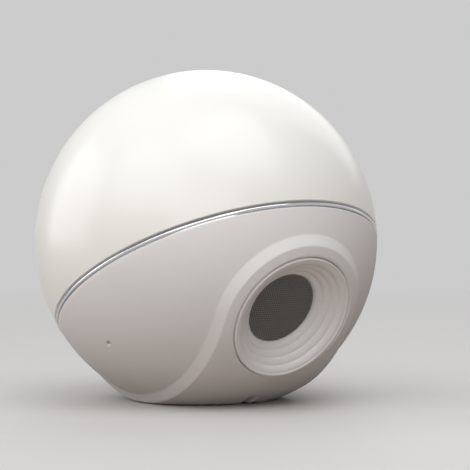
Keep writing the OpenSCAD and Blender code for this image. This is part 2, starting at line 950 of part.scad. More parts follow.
module driver_screws() {
  color("#8f9194")
    horn_frame()
      around(4, driver_screw_r, 45)
        translate([0, 0, basket_s - basket_flange_t])
          mirror([0, 0, 1])
            screw(
              basket_flange_t + landing_t + driver_gasket_t + 1.8,
              head = 1, size = driver_screw_scale
            );
}

module rear_chamber() {
  color("#4a4c50")
    horn_frame()
      difference() {
        union() {
          disc(flange_r, chamber_flange_s, grille_s);
          disc(chamber_out, chamber_bend_s, chamber_flange_s + 1);
          translate([0, 0, chamber_back_s])
            cylinder(
              h = chamber_bend_s - chamber_back_s, r1 = chamber_back_r, r2 = chamber_out
            );
        }
        disc(chamber_in, chamber_bend_s, grille_s + 1);
        translate([0, 0, chamber_back_s + chamber_wall])
          cylinder(
            h = chamber_bend_s - chamber_back_s - chamber_wall,
            r1 = chamber_back_r - chamber_wall + 0.9, r2 = chamber_in
          );
        around(4, horn_screw_r, 45) screw_hole(chamber_flange_s - 1, grille_s + 1);
        translate([0, 0, wire_s]) rotate([0, -90, 0]) disc(lead_r + screw_gap, chamber_in - 2, far / 4);
      }
}

module chamber_screws() {
  color("#8f9194")
    horn_frame()
      around(4, horn_screw_r, 45)
        translate([0, 0, chamber_flange_s])
          mirror([0, 0, 1]) screw(chamber_flange_t + horn_flange_t + short_bite);
}

// ---- Deck and electronics ----

module deck_form() {
  dome_frame()
    difference() {
      union() {
        ring(deck_r, hat_r - deck_t, rim_z, rim_z + deck_t);
        ring(hat_r, hat_r - deck_t, rim_z, deck_top);
        disc(hat_r, deck_top - deck_t, deck_top);
        for (x = [-board_hole_x, board_hole_x], y = [-board_hole_y, board_hole_y])
          translate([x, y, 0]) disc(post_r, deck_top - 1, board_z);
        around(4, post_circle_r, 45) disc(post_r, deck_top - 1, tray_z);
      }
      around(4, deck_screw_r, 45) screw_hole(rim_z - 1, rim_z + deck_t + 1);
      for (x = [-board_hole_x, board_hole_x], y = [-board_hole_y, board_hole_y])
        translate([x, y, 0]) screw_hole(board_z - 4, board_z + 1);
      around(4, post_circle_r, 45) screw_hole(tray_z - 6, tray_z + 1);
      for (y = [-hole_pitch / 2, hole_pitch / 2])
        translate([-hole_circle_r, y, 0]) disc(lead_hole_r, deck_top - 5, deck_top + 1);
      translate([0, power_hole_y, 0]) disc(lead_hole_r, deck_top - 5, deck_top + 1);
    }
}

module deck_frame() {
  color("#cfd0d2")
    difference() {
      deck_form();
      speaker_room();
    }
}

module deck_screws() {
  color("#8f9194")
    dome_frame()
      around(4, deck_screw_r, 45)
        translate([0, 0, rim_z + deck_t]) screw(deck_t + screw_bite);
}

module main_board() {
  color("#2f5d46")
    dome_frame()
      difference() {
        block([board_w, board_l, board_t], board_z);
        for (x = [-board_hole_x, board_hole_x], y = [-board_hole_y, board_hole_y])
          translate([x, y, 0]) screw_hole(board_z - 1, board_top + 1);
      }
}

module board_screws() {
  color("#8f9194")
    dome_frame()
      for (x = [-board_hole_x, board_hole_x], y = [-board_hole_y, board_hole_y])
        translate([x, y, board_top]) screw(board_t + short_bite);
}

module at_chip() {
  dome_frame() translate(chip_place) children();
}

module processor_chip() {
  color("#2b2c2f") at_chip() block([chip_side, chip_side, chip_h], board_top);
}

module shield_can() {
  inside = shield_side - 2 * shield_t;
  color("#b4b6b9")
    at_chip()
      difference() {
        block([shield_side, shield_side, shield_h], board_top);
        block([inside, inside, shield_h], board_top - shield_t);
      }
}

module thermal_pad() {
  pad_side = chip_side - 2;
  color("#9db7c9")
    at_chip()
      block([pad_side, pad_side, shield_h - shield_t - chip_h], board_top + chip_h);
}

module heat_spreader() {
  side = shield_side + 4;
  fins = 6;
  fin_t = 1.2;
  color("#aeb1b5")
    at_chip()
      translate([0, 0, board_top + shield_h]) {
        block([side, side, spreader_t], 0);
        for (fin = [0 : fins - 1])
          translate([0, (fin / (fins - 1) - 0.5) * (side - fin_t), 0])
            block([side, fin_t, spreader_t + 2.5], 0);
      }
}

module connector() {
  block([connector_size.x, connector_size.y, connector_h], board_top);
}

module board_connectors() {
  color("#e8e3d2")
    dome_frame() {
      for (y = [-hole_pitch / 2, hole_pitch / 2])
        translate([-connector_place, y, 0]) connector();
      translate([connector_place, 0, 0]) connector();
      translate([0, board_l / 2 - connector_inset, 0]) rotate(90) connector();
    }
}

module board_capacitors() {
  color("#5b6470")
    dome_frame()
      for (y = capacitor_places)
        translate([capacitor_x, y, 0]) disc(capacitor_r, board_top, board_top + capacitor_h);
}

module wifi_antenna() {
  color("#c8a24c")
    dome_frame() translate([0, -hole_circle_r, 0]) block(antenna_size, deck_top);
}

// ---- Light ----

module light_tray() {
  color("#fbfbfa")
    dome_frame()
      difference() {
        union() {
          disc(tray_r, tray_z, tray_top);
          ring(tray_r, tray_r - tray_rim_w, tray_z, tray_top + 1.5);
        }
        around(4, post_circle_r, 45) screw_hole(tray_z - 1, tray_top + 1);
        translate([connector_place, 0, 0]) disc(lead_hole_r, tray_z - 1, tray_top + 1);
      }
}

module tray_screws() {
  color("#8f9194")
    dome_frame()
      around(4, post_circle_r, 45) translate([0, 0, tray_top]) screw(tray_t + screw_bite);
}

module light_board() {
  color("#f3f3f1")
    dome_frame()
      ring(light_board_r, led_circle_d / 2 - 10, tray_top, tray_top + light_board_t);
}

module light_leds() {
  color("#f5e6a8")
    dome_frame()
      around(led_count, led_circle_d / 2, 180 / led_count)
        block([3.4, 2.8, 1], tray_top + light_board_t);
}

module light_diffuser() {
  color([0.95, 0.95, 0.95, 0.6])
    dome_frame()
      intersection() {
        translate([0, 0, diffuser_z])
          difference() {
            sphere(diffuser_r, $fn = ball_fn);
            sphere(diffuser_r - diffuser_wall, $fn = ball_fn);
          }
        above_plane(tray_top);
      }
}

// ---- Microphone ----

module mic_boot() {
  color("#313133")
    mic_frame()
      ring(mic_boot_r, mic_hole_d / 2, mic_seat_s - mic_boot_t, mic_seat_s);
}

module mic_board() {
  color("#2f5d46")
    mic_frame()
      difference() {
        block(mic_board_size, mic_board_s);
        for (side = [-1, 1])
          translate([side * mic_peg_x, 0, 0])
            disc(0.8 + screw_gap, mic_board_s - 1, mic_board_s + 2);
      }
}

module mic_capsule() {
  color("#c4b27a") mic_frame() block(mic_chip, mic_board_s + mic_board_size.z);
}

// ---- Power and reset ----

module power_board() {
  color("#2f5d46")
    difference() {
      block([power_board_size.x, power_board_size.y, board_t], power_board_z);
      speaker_room();
      for (place = power_posts)
        translate(place) screw_hole(power_board_z - 1, power_board_z + board_t + 1);
    }
}

module power_board_screws() {
  color("#8f9194")
    for (place = power_posts)
      translate([place.x, place.y, power_board_z + board_t]) screw(board_t + screw_bite);
}

module power_jack() {
  color("#3a3b3e")
    translate([0, well_y, 0])
      difference() {
        union() {
          disc(jack_collar_r, well_h - 1, jack_base + 1);
          block([jack_side, jack_side, jack_h], jack_base);
        }
        disc(jack_bore_r, well_h - 2, jack_base + jack_h - 2);
      }
}

module jack_pin() {
  color("#c9cbce")
    translate([0, well_y, 0]) disc(1, well_h, jack_base + jack_h - 2);
}

module reset_button() {
  color("#e9e6e6")
    translate(button_place) {
      disc(button_r, button_rim_z, switch_z - stem_l);
      disc(button_r + 0.9, guide_top + run_gap, guide_top + run_gap + 1);
    }
}

module reset_switch() {
  color("#2b2c2f")
    translate(button_place)
      difference() {
        block([switch_side, switch_side, switch_h], switch_z);
        disc(stem_r + run_gap, switch_z - 1, switch_z + 1.5 + button_travel);
      }
}

module switch_stem() {
  color("#c6452f") translate(button_place) disc(stem_r, switch_z - stem_l, switch_z + 1.2);
}

// ---- Inner leads ----

dome_side = [0, cos(dome_tilt), -sin(dome_tilt)];
board_plug_x = -connector_place - connector_size.x / 2 - lead_gap;
power_plug_y = board_l / 2 - connector_inset + connector_size.x / 2 + lead_gap;
power_out = [4, power_board_size.y / 2 - connector_inset];

module speaker_lead() {
  color("#1f1f21")
    lead(concat(
      [
        horn_point([-terminal_r - 0.3, 0, wire_s]),
        horn_point([-chamber_out - 1, 0, wire_s]),
        horn_point([-chamber_out - 4, 0, wire_s])
      ],
      through_deck([-hole_circle_r, -hole_pitch / 2], [board_plug_x, -hole_pitch / 2])
    ), lead_r, dome_side);
}

module power_lead() {
  color("#7a2a25")
    lead(concat(
      [
        [power_out.x, power_out.y, power_board_z + board_t + lead_gap],
        [power_out.x, power_out.y, power_board_z + board_t + lead_rise]
      ],
      through_deck([0, power_hole_y], [0, power_plug_y])
    ), lead_r, [1, 0, 0]);
}

module mic_lead() {
  color("#d9d9dc")
    lead(concat(
      [
        mic_point([0, 0, mic_board_s - lead_gap]),
        mic_point([0, 0, mic_board_s - 4])
      ],
      through_deck([-hole_circle_r, hole_pitch / 2], [board_plug_x, hole_pitch / 2])
    ), lead_r, dome_side);
}

module light_lead() {
  color("#d9d9dc")
    dome_frame()
      translate([connector_place, 0, 0]) disc(lead_r, board_top + connector_h, tray_top);
}

dome_shell();
dome_gasket();
trim_ring();
lower_housing();
base_plate();
base_screws();
rubber_foot();
ballast_weight();
horn_bezel();
grille_mesh();
driver_gasket();
driver_basket();
driver_surround();
driver_cone();
dust_cap();
coil_former();
voice_coil();
driver_spider();
top_plate();
driver_magnet();
driver_yoke();
driver_terminals();
driver_screws();
rear_chamber();
chamber_screws();
deck_frame();
deck_screws();
main_board();
board_screws();
processor_chip();
shield_can();
thermal_pad();
heat_spreader();
board_connectors();
board_capacitors();
wifi_antenna();
light_tray();
tray_screws();
light_board();
light_leds();
light_diffuser();
mic_boot();
mic_board();
mic_capsule();
power_board();
power_board_screws();
power_jack();
jack_pin();
reset_button();
reset_switch();
switch_stem();
speaker_lead();
power_lead();
mic_lead();
light_lead();
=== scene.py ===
"""Looks of a ball-shaped smart speaker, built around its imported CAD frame.

The dome, the seam's trim ring, the housing with its raised front, and the stepped horn are surfaces
worked out with numpy inside the space of their CAD solids. Every other CAD node keeps its own mesh
and gets the finish of its material slot. Lengths are in metres, angles in radians.
"""

import json

import bpy
import numpy as np
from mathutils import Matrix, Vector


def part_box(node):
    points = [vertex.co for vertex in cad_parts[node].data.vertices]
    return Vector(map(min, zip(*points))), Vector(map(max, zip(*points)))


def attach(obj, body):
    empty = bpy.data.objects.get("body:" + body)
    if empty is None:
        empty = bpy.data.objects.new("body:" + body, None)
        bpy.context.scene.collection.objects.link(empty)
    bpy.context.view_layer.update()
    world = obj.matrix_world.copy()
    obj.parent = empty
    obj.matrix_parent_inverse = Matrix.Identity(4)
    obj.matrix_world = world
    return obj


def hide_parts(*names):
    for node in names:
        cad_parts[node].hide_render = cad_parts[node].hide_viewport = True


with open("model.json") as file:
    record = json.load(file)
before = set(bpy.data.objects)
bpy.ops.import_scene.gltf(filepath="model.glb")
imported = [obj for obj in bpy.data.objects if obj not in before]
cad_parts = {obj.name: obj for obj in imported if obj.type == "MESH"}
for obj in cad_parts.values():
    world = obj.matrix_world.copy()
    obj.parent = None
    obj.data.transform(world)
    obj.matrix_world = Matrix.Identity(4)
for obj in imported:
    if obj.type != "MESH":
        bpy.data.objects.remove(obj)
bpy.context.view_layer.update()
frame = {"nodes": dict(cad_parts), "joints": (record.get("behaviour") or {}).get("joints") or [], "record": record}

bl_info = {
    "name": "Ball speaker looks",
    "version": (1, 0, 0),
    "blender": (4, 5, 0),
    "location": "3D View > Sidebar > Speaker",
    "description": "Dresses the CAD frame of a ball-shaped smart speaker and sets its stage",
    "category": "Object",
}

MM = 0.001

# ---- Places and sizes taken from the frame ----

BALL_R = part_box("dome_shell")[1].x
CENTRE = np.array([0.0, 0.0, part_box("dome_shell")[1].z - BALL_R])
BASE_DROP = CENTRE[2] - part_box("lower_housing")[0].z
PLATE_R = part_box("base_plate")[1].x
PLATE_GAP = 0.2 * MM
RIGHT = np.array([1.0, 0.0, 0.0])


def axes_of(axis):
    """Rows of a frame: the ball's X axis, the axis crossed with X, and the axis itself."""
    axis = np.array(axis) / np.linalg.norm(axis)
    return np.array([RIGHT, np.cross(axis, RIGHT), axis])


DOME_TILT = np.radians(28.3)
HORN = axes_of(next(j["axis"] for j in frame["joints"] if j["name"] == "cone_travel"))
DOME = axes_of([0.0, np.sin(DOME_TILT), np.cos(DOME_TILT)])

# Angles in the plane of the two axes, counted from the horn's axis downwards: straight down, and
# straight away from the dome.
DOWN = np.arctan2(HORN[1, 2], -HORN[2, 2])
AWAY = np.arctan2(DOME[2] @ HORN[1], -DOME[2] @ HORN[2])

# Seam: its plane lies below the ball's centre along the dome's axis. The trim ring's bead stands in
# it, with a dark gap to the housing's rim on one side and to the dome's rim on the other.
SEAM_DROP = 14.6 * MM
BEAD_R = 0.5 * MM
BEAD_PROUD = 0.2 * MM
GAP_BELOW, GAP_ABOVE = 0.4 * MM, 0.65 * MM
HOUSING_RIM = -SEAM_DROP - BEAD_R - GAP_BELOW
DOME_RIM = -SEAM_DROP + BEAD_R + GAP_ABOVE
SEAM_R = np.sqrt(BALL_R**2 - SEAM_DROP**2)
TRIM_W = 3.0 * MM
NECK_IN = 1.0 * MM
GASKET_H = 0.6 * MM

# Raised front: a crowned face with a bevelled band along its edge.
FACE_HALF = 28.2 * MM
FACE_CROWN_R = 75.0 * MM
FACE_PROUD = 0.1 * MM
BAND_W = 2.6 * MM

# Horn, measured along its axis from the ball's centre.
HORN_R = 21.6 * MM
GROOVE_R = 21.8 * MM
HORN_RIM = 54.3 * MM
HORN_BEAD_H = 0.3 * MM
HORN_LIP = 47.3 * MM
GRILLE_R = 12.5 * MM
GRILLE_BACK, GRILLE_FRONT = 46.3 * MM, 46.8 * MM
GRILLE_SEAT_R = 13.6 * MM
FLANGE_R, FLANGE_FRONT = 26.4 * MM, 48.0 * MM

# Cable notch in the housing's foot, and the microphone's hole: how far it lies to the left of the
# front and below the ball's middle.
NOTCH_HALF = 2.2 * MM
NOTCH_TOP = 3.1 * MM
MIC_TURN, MIC_DIP = np.radians(76.0), np.radians(33.8)
MIC_HOLE_R = 0.6 * MM

# Fineness of the meshes: steps along the stretches of the housing's skin, steps round the turned
# pieces, and the size of the lattice in which points count as one.
ARCH_STEPS, STRIP_STEPS, NOTCH_STEPS, BACK_STEPS, CHEEK_STEPS = 120, 40, 5, 60, 38
DOME_TURNS, TRIM_TURNS, HORN_TURNS, FLOOR_TURNS, HOLE_TURNS = 256, 320, 192, 96, 24
WELD = 0.001 * MM

# Lamps by name: azimuth from the front to the right and elevation, in degrees, and width.
LAMPS = {
    "key": (4, 66, 0.9),
    "side": (-80, 40, 0.9),
    "rim": (-140, 14, 0.9),
    "back": (125, 38, 1.0),
    "fill": (-35, 14, 0.9),
}
LAMP_DISTANCE = 1.1

# Floor: the flat part's radius, the sweep's radius, the backdrop's height above it, and the distances
# from the ball between which the lit floor passes into the backdrop's even tone.
FLAT_R, SWEEP_R, BACKDROP_H = 1.6, 0.6, 1.2
FADE_START, FADE_END = 0.16, 0.7


# ---- What a user may change ----

def length_property(name, description, default, low, high):
    """A length whose default and limits are given in millimetres."""
    return bpy.props.FloatProperty(
        name=name, description=description, default=default * MM, min=low * MM, max=high * MM,
        unit="LENGTH", precision=5)


def colour_property(name, description, default):
    """A colour as red, green and blue."""
    return bpy.props.FloatVectorProperty(
        name=name, description=description, default=default, min=0, max=1, size=3, subtype="COLOR")


def power_property(name, lamp, default):
    """The power of a lamp, in watts."""
    return bpy.props.FloatProperty(
        name=name, description="Power of the " + lamp, default=default, min=0, unit="POWER")


class SpeakerSizes(bpy.types.PropertyGroup):
    """Sizes of the modelled shells."""

    housing_wall: length_property("Housing wall", "Wall of the lower housing", 2.5, 1.5, 4)
    dome_wall: length_property("Dome wall", "Wall of the dome", 2.0, 1, 4)
    rim_round: length_property(
        "Rim round", "Round on the edges of the shells along the seam", 0.25, 0.05, 0.6)
    groove_round: length_property(
        "Groove round", "Round on the housing's edge round the horn", 0.7, 0.1, 1)
    band_round: length_property(
        "Band round", "Length over which the bevelled band's edges are rounded", 0.35, 0.1, 0.85)
    bead_width: length_property("Bead width", "Width of the bead at the horn's rim", 1.0, 0.6, 1.4)
    horn_steps: bpy.props.IntProperty(
        name="Horn steps", description="Number of round steps in the horn", default=4, min=2, max=6)
    step_swell: bpy.props.FloatProperty(
        name="Step swell", description="How round the horn's steps are, from 0 for a plain flare",
        default=1.0, min=0, max=1, subtype="FACTOR")


class SpeakerStage(bpy.types.PropertyGroup):
    """Floor, backdrop and light."""

    floor_tone: colour_property(
        "Floor", "Colour of the floor near the ball, as it is seen", (0.62, 0.61, 0.60))
    backdrop_tone: colour_property(
        "Backdrop", "Even tone of the backdrop, as it is seen", (0.60, 0.60, 0.60))
    floor_bounce: colour_property(
        "Floor bounce", "Colour of the light that the floor throws back up", (0.24, 0.195, 0.16))
    world_level: bpy.props.FloatProperty(
        name="World light", description="Strength of the even light from all round",
        default=0.42, min=0, max=2)
    key_power: power_property("Key lamp", "lamp above the front", 5.0)
    side_power: power_property("Side lamp", "lamp at the left", 3.8)
    rim_power: power_property("Rim lamp", "low lamp at the left and behind", 4.6)
    back_power: power_property("Back lamp", "lamp at the right and behind", 2.8)
    fill_power: power_property("Fill lamp", "low lamp at the front", 4.1)


# ---- Directions and meshes from arrays ----

def direction(azimuth, elevation):
    """Unit vector towards a viewpoint: azimuth turns from the front, -Y, to the right, +X."""
    return np.array([
        np.sin(azimuth) * np.cos(elevation), -np.cos(azimuth) * np.cos(elevation), np.sin(elevation)])


def place(local, axes):
    """Points given in a frame at the ball's centre, in the part's own frame."""
    return CENTRE + np.asarray(local) @ axes


def local_to(points, axes):
    """Points of the part's own frame, given in a frame at the ball's centre."""
    return (np.asarray(points) - CENTRE) @ axes.T


def grid_faces(rows, columns):
    """Quads of a grid of rows by columns of points, numbered row by row."""
    first = (np.arange(rows - 1)[:, None] * columns + np.arange(columns - 1)).reshape(-1, 1)
    return first + np.array([0, 1, columns + 1, columns])


def joined(grids):
    """Points and quads of several grids, each turned so that its faces look away from the ball's
    centre. Each grid comes with a mask of the quads to keep, or None for all."""
    points, quads, start = [], [], 0
    for grid, kept in grids:
        flat = grid.reshape(-1, 3)
        faces = grid_faces(*grid.shape[:2])
        if kept is not None:
            faces = faces[kept.ravel()]
        corners = flat[faces]
        normals = np.cross(corners[:, 2] - corners[:, 0], corners[:, 3] - corners[:, 1])
        if np.einsum("ij,ij->", normals, corners.mean(1) - CENTRE) < 0:
            faces = faces[:, ::-1]
        points.append(flat)
        quads.append(faces + start)
        start += len(flat)
    return np.concatenate(points), np.concatenate(quads)


def welded(points, quads, shift=0.137):
    """Merges points that fall in the same cell of a fine lattice. The shift keeps round numbers off
    the lattice's edges."""
    cells = np.floor(points / WELD + shift).astype(np.int64)
    _, first, where = np.unique(cells, axis=0, return_index=True, return_inverse=True)
    return points[first], where.ravel()[quads]


def open_edges(quads):
    """Directed edges that only one face has, in that face's own direction."""
    edges = np.stack([quads, np.roll(quads, -1, axis=1)], axis=-1).reshape(-1, 2)
    edges = edges[edges[:, 0] != edges[:, 1]]
    _, where, count = np.unique(
        np.sort(edges, axis=1), axis=0, return_inverse=True, return_counts=True)
    return edges[count[where.ravel()] == 1]


def rim(points, quads, edges, rows, inner):
    """Closes a shell along one open edge: a strip of quads from the outer skin's edge through each
    row of new points to the inner skin, whose points are numbered inner later than the outer ones."""
    loop = np.unique(edges)
    spot = np.searchsorted(loop, edges)
    start = len(points) + np.arange(len(rows))[:, None] * len(loop)
    ladder = np.concatenate([loop[None], start + np.arange(len(loop)), loop[None] + inner])
    low, high = ladder[:-1], ladder[1:]
    strips = [
        np.stack([a[spot[:, 1]], a[spot[:, 0]], b[spot[:, 0]], b[spot[:, 1]]], axis=1)
        for a, b in zip(low, high)
    ]
    return np.concatenate([points, *rows]), np.concatenate([quads, *strips])


def make_mesh(name, points, quads):
    """A mesh of quads, in which a quad that names a point twice becomes a triangle or is left out."""
    repeated = quads == np.roll(quads, -1, axis=1)
    sound = repeated.sum(1) < 2
    quads, repeated = quads[sound], repeated[sound]
    totals = 4 - repeated.sum(1)
    corners = quads[~repeated]
    used, corners = np.unique(corners, return_inverse=True)
    mesh = bpy.data.meshes.new(name)
    mesh.vertices.add(len(used))
    mesh.vertices.foreach_set("co", points[used].astype(np.float32).ravel())
    mesh.loops.add(len(corners))
    mesh.loops.foreach_set("vertex_index", corners.ravel().astype(np.int32))
    mesh.polygons.add(len(totals))
    mesh.polygons.foreach_set("loop_start", (np.cumsum(totals) - totals).astype(np.int32))
    mesh.polygons.foreach_set("use_smooth", np.ones(len(totals), bool))
    mesh.update(calc_edges=True)
    mesh.validate()
    return mesh


def add_piece(name, mesh, body, nodes, slot, sharp):
    """Puts a mesh into the scene as a piece that rides on a body and stands for CAD nodes. Edges
    sharper than an angle in degrees stay crisp."""
    mesh.set_sharp_from_angle(angle=np.radians(sharp))
    piece = bpy.data.objects.new(name, mesh)
    bpy.context.scene.collection.objects.link(piece)
    mesh.materials.append(finish_of(slot))
    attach(piece, body)
    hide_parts(*nodes)
    return piece


def arc(middle, radius, start, stop, steps):
    """Points on a circle about middle, from one angle to another, counted from the first axis to the
    second."""
    turn = np.linspace(start, stop, steps + 1)
    return np.array(middle) + radius * np.stack([np.cos(turn), np.sin(turn)], axis=1)


def rounded(before, corner, after, steps=6):
    """A corner eased by the parabola that leaves before and reaches after along the corner's two
    sides."""
    t = np.linspace(0, 1, steps + 1)[:, None]
    before, corner, after = (np.array(point) for point in (before, corner, after))
    return (1 - t) ** 2 * before + 2 * t * (1 - t) * corner + t**2 * after


def between(low, high, steps):
    """Rows that pass in even steps from one row of values to another."""
    return low + (high - low) * np.linspace(0, 1, steps + 1)[:, None]


def turned(profile, start, stop, steps):
    """A grid: the profile of (radius, height) points at each step of a turn about an axis."""
    turn = np.linspace(start, stop, steps + 1)[:, None]
    radius, height = np.asarray(profile).T
    level = np.broadcast_to(height, (steps + 1, len(height)))
    return np.stack([radius * np.cos(turn), radius * np.sin(turn), level], axis=-1)


def revolved(profile, axes, steps):
    """A closed ring of quads: the profile turned once about a frame's axis. The profile runs so that
    the solid lies on its left."""
    grid = turned(profile, 0, 2 * np.pi, steps)
    points = place(grid.reshape(-1, 3), axes)
    return welded(points, grid_faces(*grid.shape[:2])[:, ::-1])


# ---- Shader groups that several finishes share ----

def new_node(tree, kind, values=(), **settings):
    """A node with its properties set, and its inputs filled with values or linked from sockets."""
    node = tree.nodes.new(kind)
    for key, value in settings.items():
        setattr(node, key, value)
    for socket, value in dict(values).items():
        if isinstance(value, bpy.types.NodeSocket):
            tree.links.new(value, node.inputs[socket])
        else:
            node.inputs[socket].default_value = value
    return node


def math_node(tree, operation, *values):
    """The result of a sum or function of values and sockets."""
    return new_node(tree, "ShaderNodeMath", dict(enumerate(values)), operation=operation).outputs[0]


def mix_node(tree, share, first, second):
    """The first colour where share is 0 and the second where it is 1."""
    values = {0: share, 6: first, 7: second}
    return new_node(tree, "ShaderNodeMix", values, data_type="RGBA").outputs[2]


def new_group(name, inputs, outputs):
    """A shader group with its given and its made sockets. It is given a vector and the named inputs,
    each a value with a default, or a colour where the default is None."""
    tree = bpy.data.node_groups.new(name, "ShaderNodeTree")
    tree.interface.new_socket("Vector", in_out="INPUT", socket_type="NodeSocketVector")
    for label, default in inputs.items():
        kind = "Color" if default is None else "Float"
        socket = tree.interface.new_socket(label, in_out="INPUT", socket_type="NodeSocket" + kind)
        if default is not None:
            socket.default_value = default
    for label, kind in outputs.items():
        tree.interface.new_socket(label, in_out="OUTPUT", socket_type="NodeSocket" + kind)
    given, made = tree.nodes.new("NodeGroupInput"), tree.nodes.new("NodeGroupOutput")
    return tree, given.outputs, made.inputs


def noise(tree, vector, size, detail=2.0, roughness=0.5):
    """Soft noise whose features are about size across."""
    scale = math_node(tree, "DIVIDE", 1.0, size)
    values = {"Vector": vector, "Scale": scale, "Detail": detail, "Roughness": roughness}
    return new_node(tree, "ShaderNodeTexNoise", values).outputs["Fac"]


def cells(tree, vector, size, randomness=1.0, **settings):
    """Distance to the points of a cell pattern, which are about size apart."""
    scale = math_node(tree, "DIVIDE", 1.0, size)
    values = {"Vector": vector, "Scale": scale, "Randomness": randomness}
    return new_node(tree, "ShaderNodeTexVoronoi", values, **settings).outputs["Distance"]


def remap(tree, value, low, high, to_low=0.0, to_high=1.0):
    """Carries low and high over to two other values, with all between in proportion."""
    values = {"Value": value, "From Min": low, "From Max": high, "To Min": to_low, "To Max": to_high}
    return new_node(tree, "ShaderNodeMapRange", values).outputs[0]


def build_tone_drift(name):
    """Two tones of one colour that drift into each other over a distance."""
    tree, given, made = new_group(
        name, {"Size": 30 * MM, "Tone": None, "Other tone": None}, {"Color": "Color"})
    share = remap(tree, noise(tree, given["Vector"], given["Size"], 3.0), 0.3, 0.7)
    tree.links.new(mix_node(tree, share, given["Tone"], given["Other tone"]), made["Color"])
    return tree


def build_surface_grain(name):
    """Fine moulded or cast grain: a height from two sizes of noise."""
    tree, given, made = new_group(name, {"Size": 0.4 * MM}, {"Height": "Float"})
    coarse = noise(tree, given["Vector"], given["Size"], 2.0)
    finer = math_node(tree, "MULTIPLY", given["Size"], 0.31)
    fine = noise(tree, given["Vector"], finer, 1.0)
    tree.links.new(math_node(tree, "MULTIPLY_ADD", fine, 0.4, coarse), made["Height"])
    return tree


def build_hand_marks(name):
    """Roughness that wanders between two levels where a surface has been handled and wiped."""
    tree, given, made = new_group(
        name, {"Size": 20 * MM, "Smooth": 0.3, "Rough": 0.4}, {"Roughness": "Float"})
    cloud = noise(tree, given["Vector"], given["Size"], 4.0, 0.6)
    tree.links.new(remap(tree, cloud, 0.35, 0.68, given["Smooth"], given["Rough"]), made["Roughness"])
    return tree


def build_line_relief(name):
    """Even ridges across one direction, as on a wound coil. The vector's X crosses them."""
    tree, given, made = new_group(name, {"Pitch": 0.4 * MM}, {"Height": "Float"})
    along = new_node(tree, "ShaderNodeSeparateXYZ", {0: given["Vector"]}).outputs[0]
    turns = math_node(tree, "DIVIDE", along, given["Pitch"])
    tree.links.new(math_node(tree, "PINGPONG", turns, 0.5), made["Height"])
    return tree


def build_plain_weave(name):
    """Over-and-under threads of a plain weave: the product of two waves at right angles."""
    tree, given, made = new_group(
        name, {"Pitch": 0.5 * MM}, {"Height": "Float", "Thread": "Float"})
    parts = new_node(tree, "ShaderNodeSeparateXYZ", {0: given["Vector"]})
    waves = []
    for axis in (0, 1):
        turns = math_node(tree, "DIVIDE", parts.outputs[axis], given["Pitch"])
        waves.append(math_node(tree, "SINE", math_node(tree, "MULTIPLY", turns, np.pi)))
    product = math_node(tree, "MULTIPLY", *waves)
    tree.links.new(math_node(tree, "MULTIPLY_ADD", product, 0.5, 0.5), made["Height"])
    tree.links.new(remap(tree, product, -0.4, 0.4), made["Thread"])
    return tree


def build_board_tracks(name):
    """Tracks of a circuit board: square-sided cells whose borders are the copper."""
    tree, given, made = new_group(name, {"Pitch": 3 * MM}, {"Copper": "Float"})
    nearest, second = (
        cells(tree, given["Vector"], given["Pitch"], 0.7, distance="CHEBYCHEV", feature=order)
        for order in ("F1", "F2"))
    border = math_node(tree, "SUBTRACT", second, nearest)
    tree.links.new(remap(tree, border, 0.10, 0.07), made["Copper"])
    return tree


def build_specks(name):
    """Scattered round specks or pores: a mask that is 1 inside them."""
    tree, given, made = new_group(name, {"Spacing": 1 * MM, "Share": 0.3}, {"Mask": "Float"})
    edge = math_node(tree, "MULTIPLY", given["Share"], 1.25)
    distance = cells(tree, given["Vector"], given["Spacing"])
    tree.links.new(remap(tree, distance, edge, given["Share"]), made["Mask"])
    return tree


GROUPS = {
    "tone": ("Tone drift", build_tone_drift),
    "grain": ("Surface grain", build_surface_grain),
    "marks": ("Hand marks", build_hand_marks),
    "lines": ("Line relief", build_line_relief),
    "weave": ("Plain weave", build_plain_weave),
    "tracks": ("Board tracks", build_board_tracks),
    "specks": ("Specks", build_specks),
}


def shared_group(key):
    """One of the shader groups, built the first time that a finish asks for it."""
    name, build = GROUPS[key]
    return bpy.data.node_groups.get(name) or build(name)


# ---- Finishes, one for each material slot of the record ----

TONES = {m["slot"]: m["base_color"] for m in frame["record"]["materials"]}

# Turns of the patterns that lie in the dome's plane, across the horn's axis, and along it.
FLAT_ON_DOME = (float(DOME_TILT), 0.0, 0.0)
ACROSS_HORN = (float(np.arctan2(HORN[2, 1], HORN[2, 2])), 0.0, 0.0)
ALONG_HORN = (ACROSS_HORN[0], np.pi / 2, 0.0)


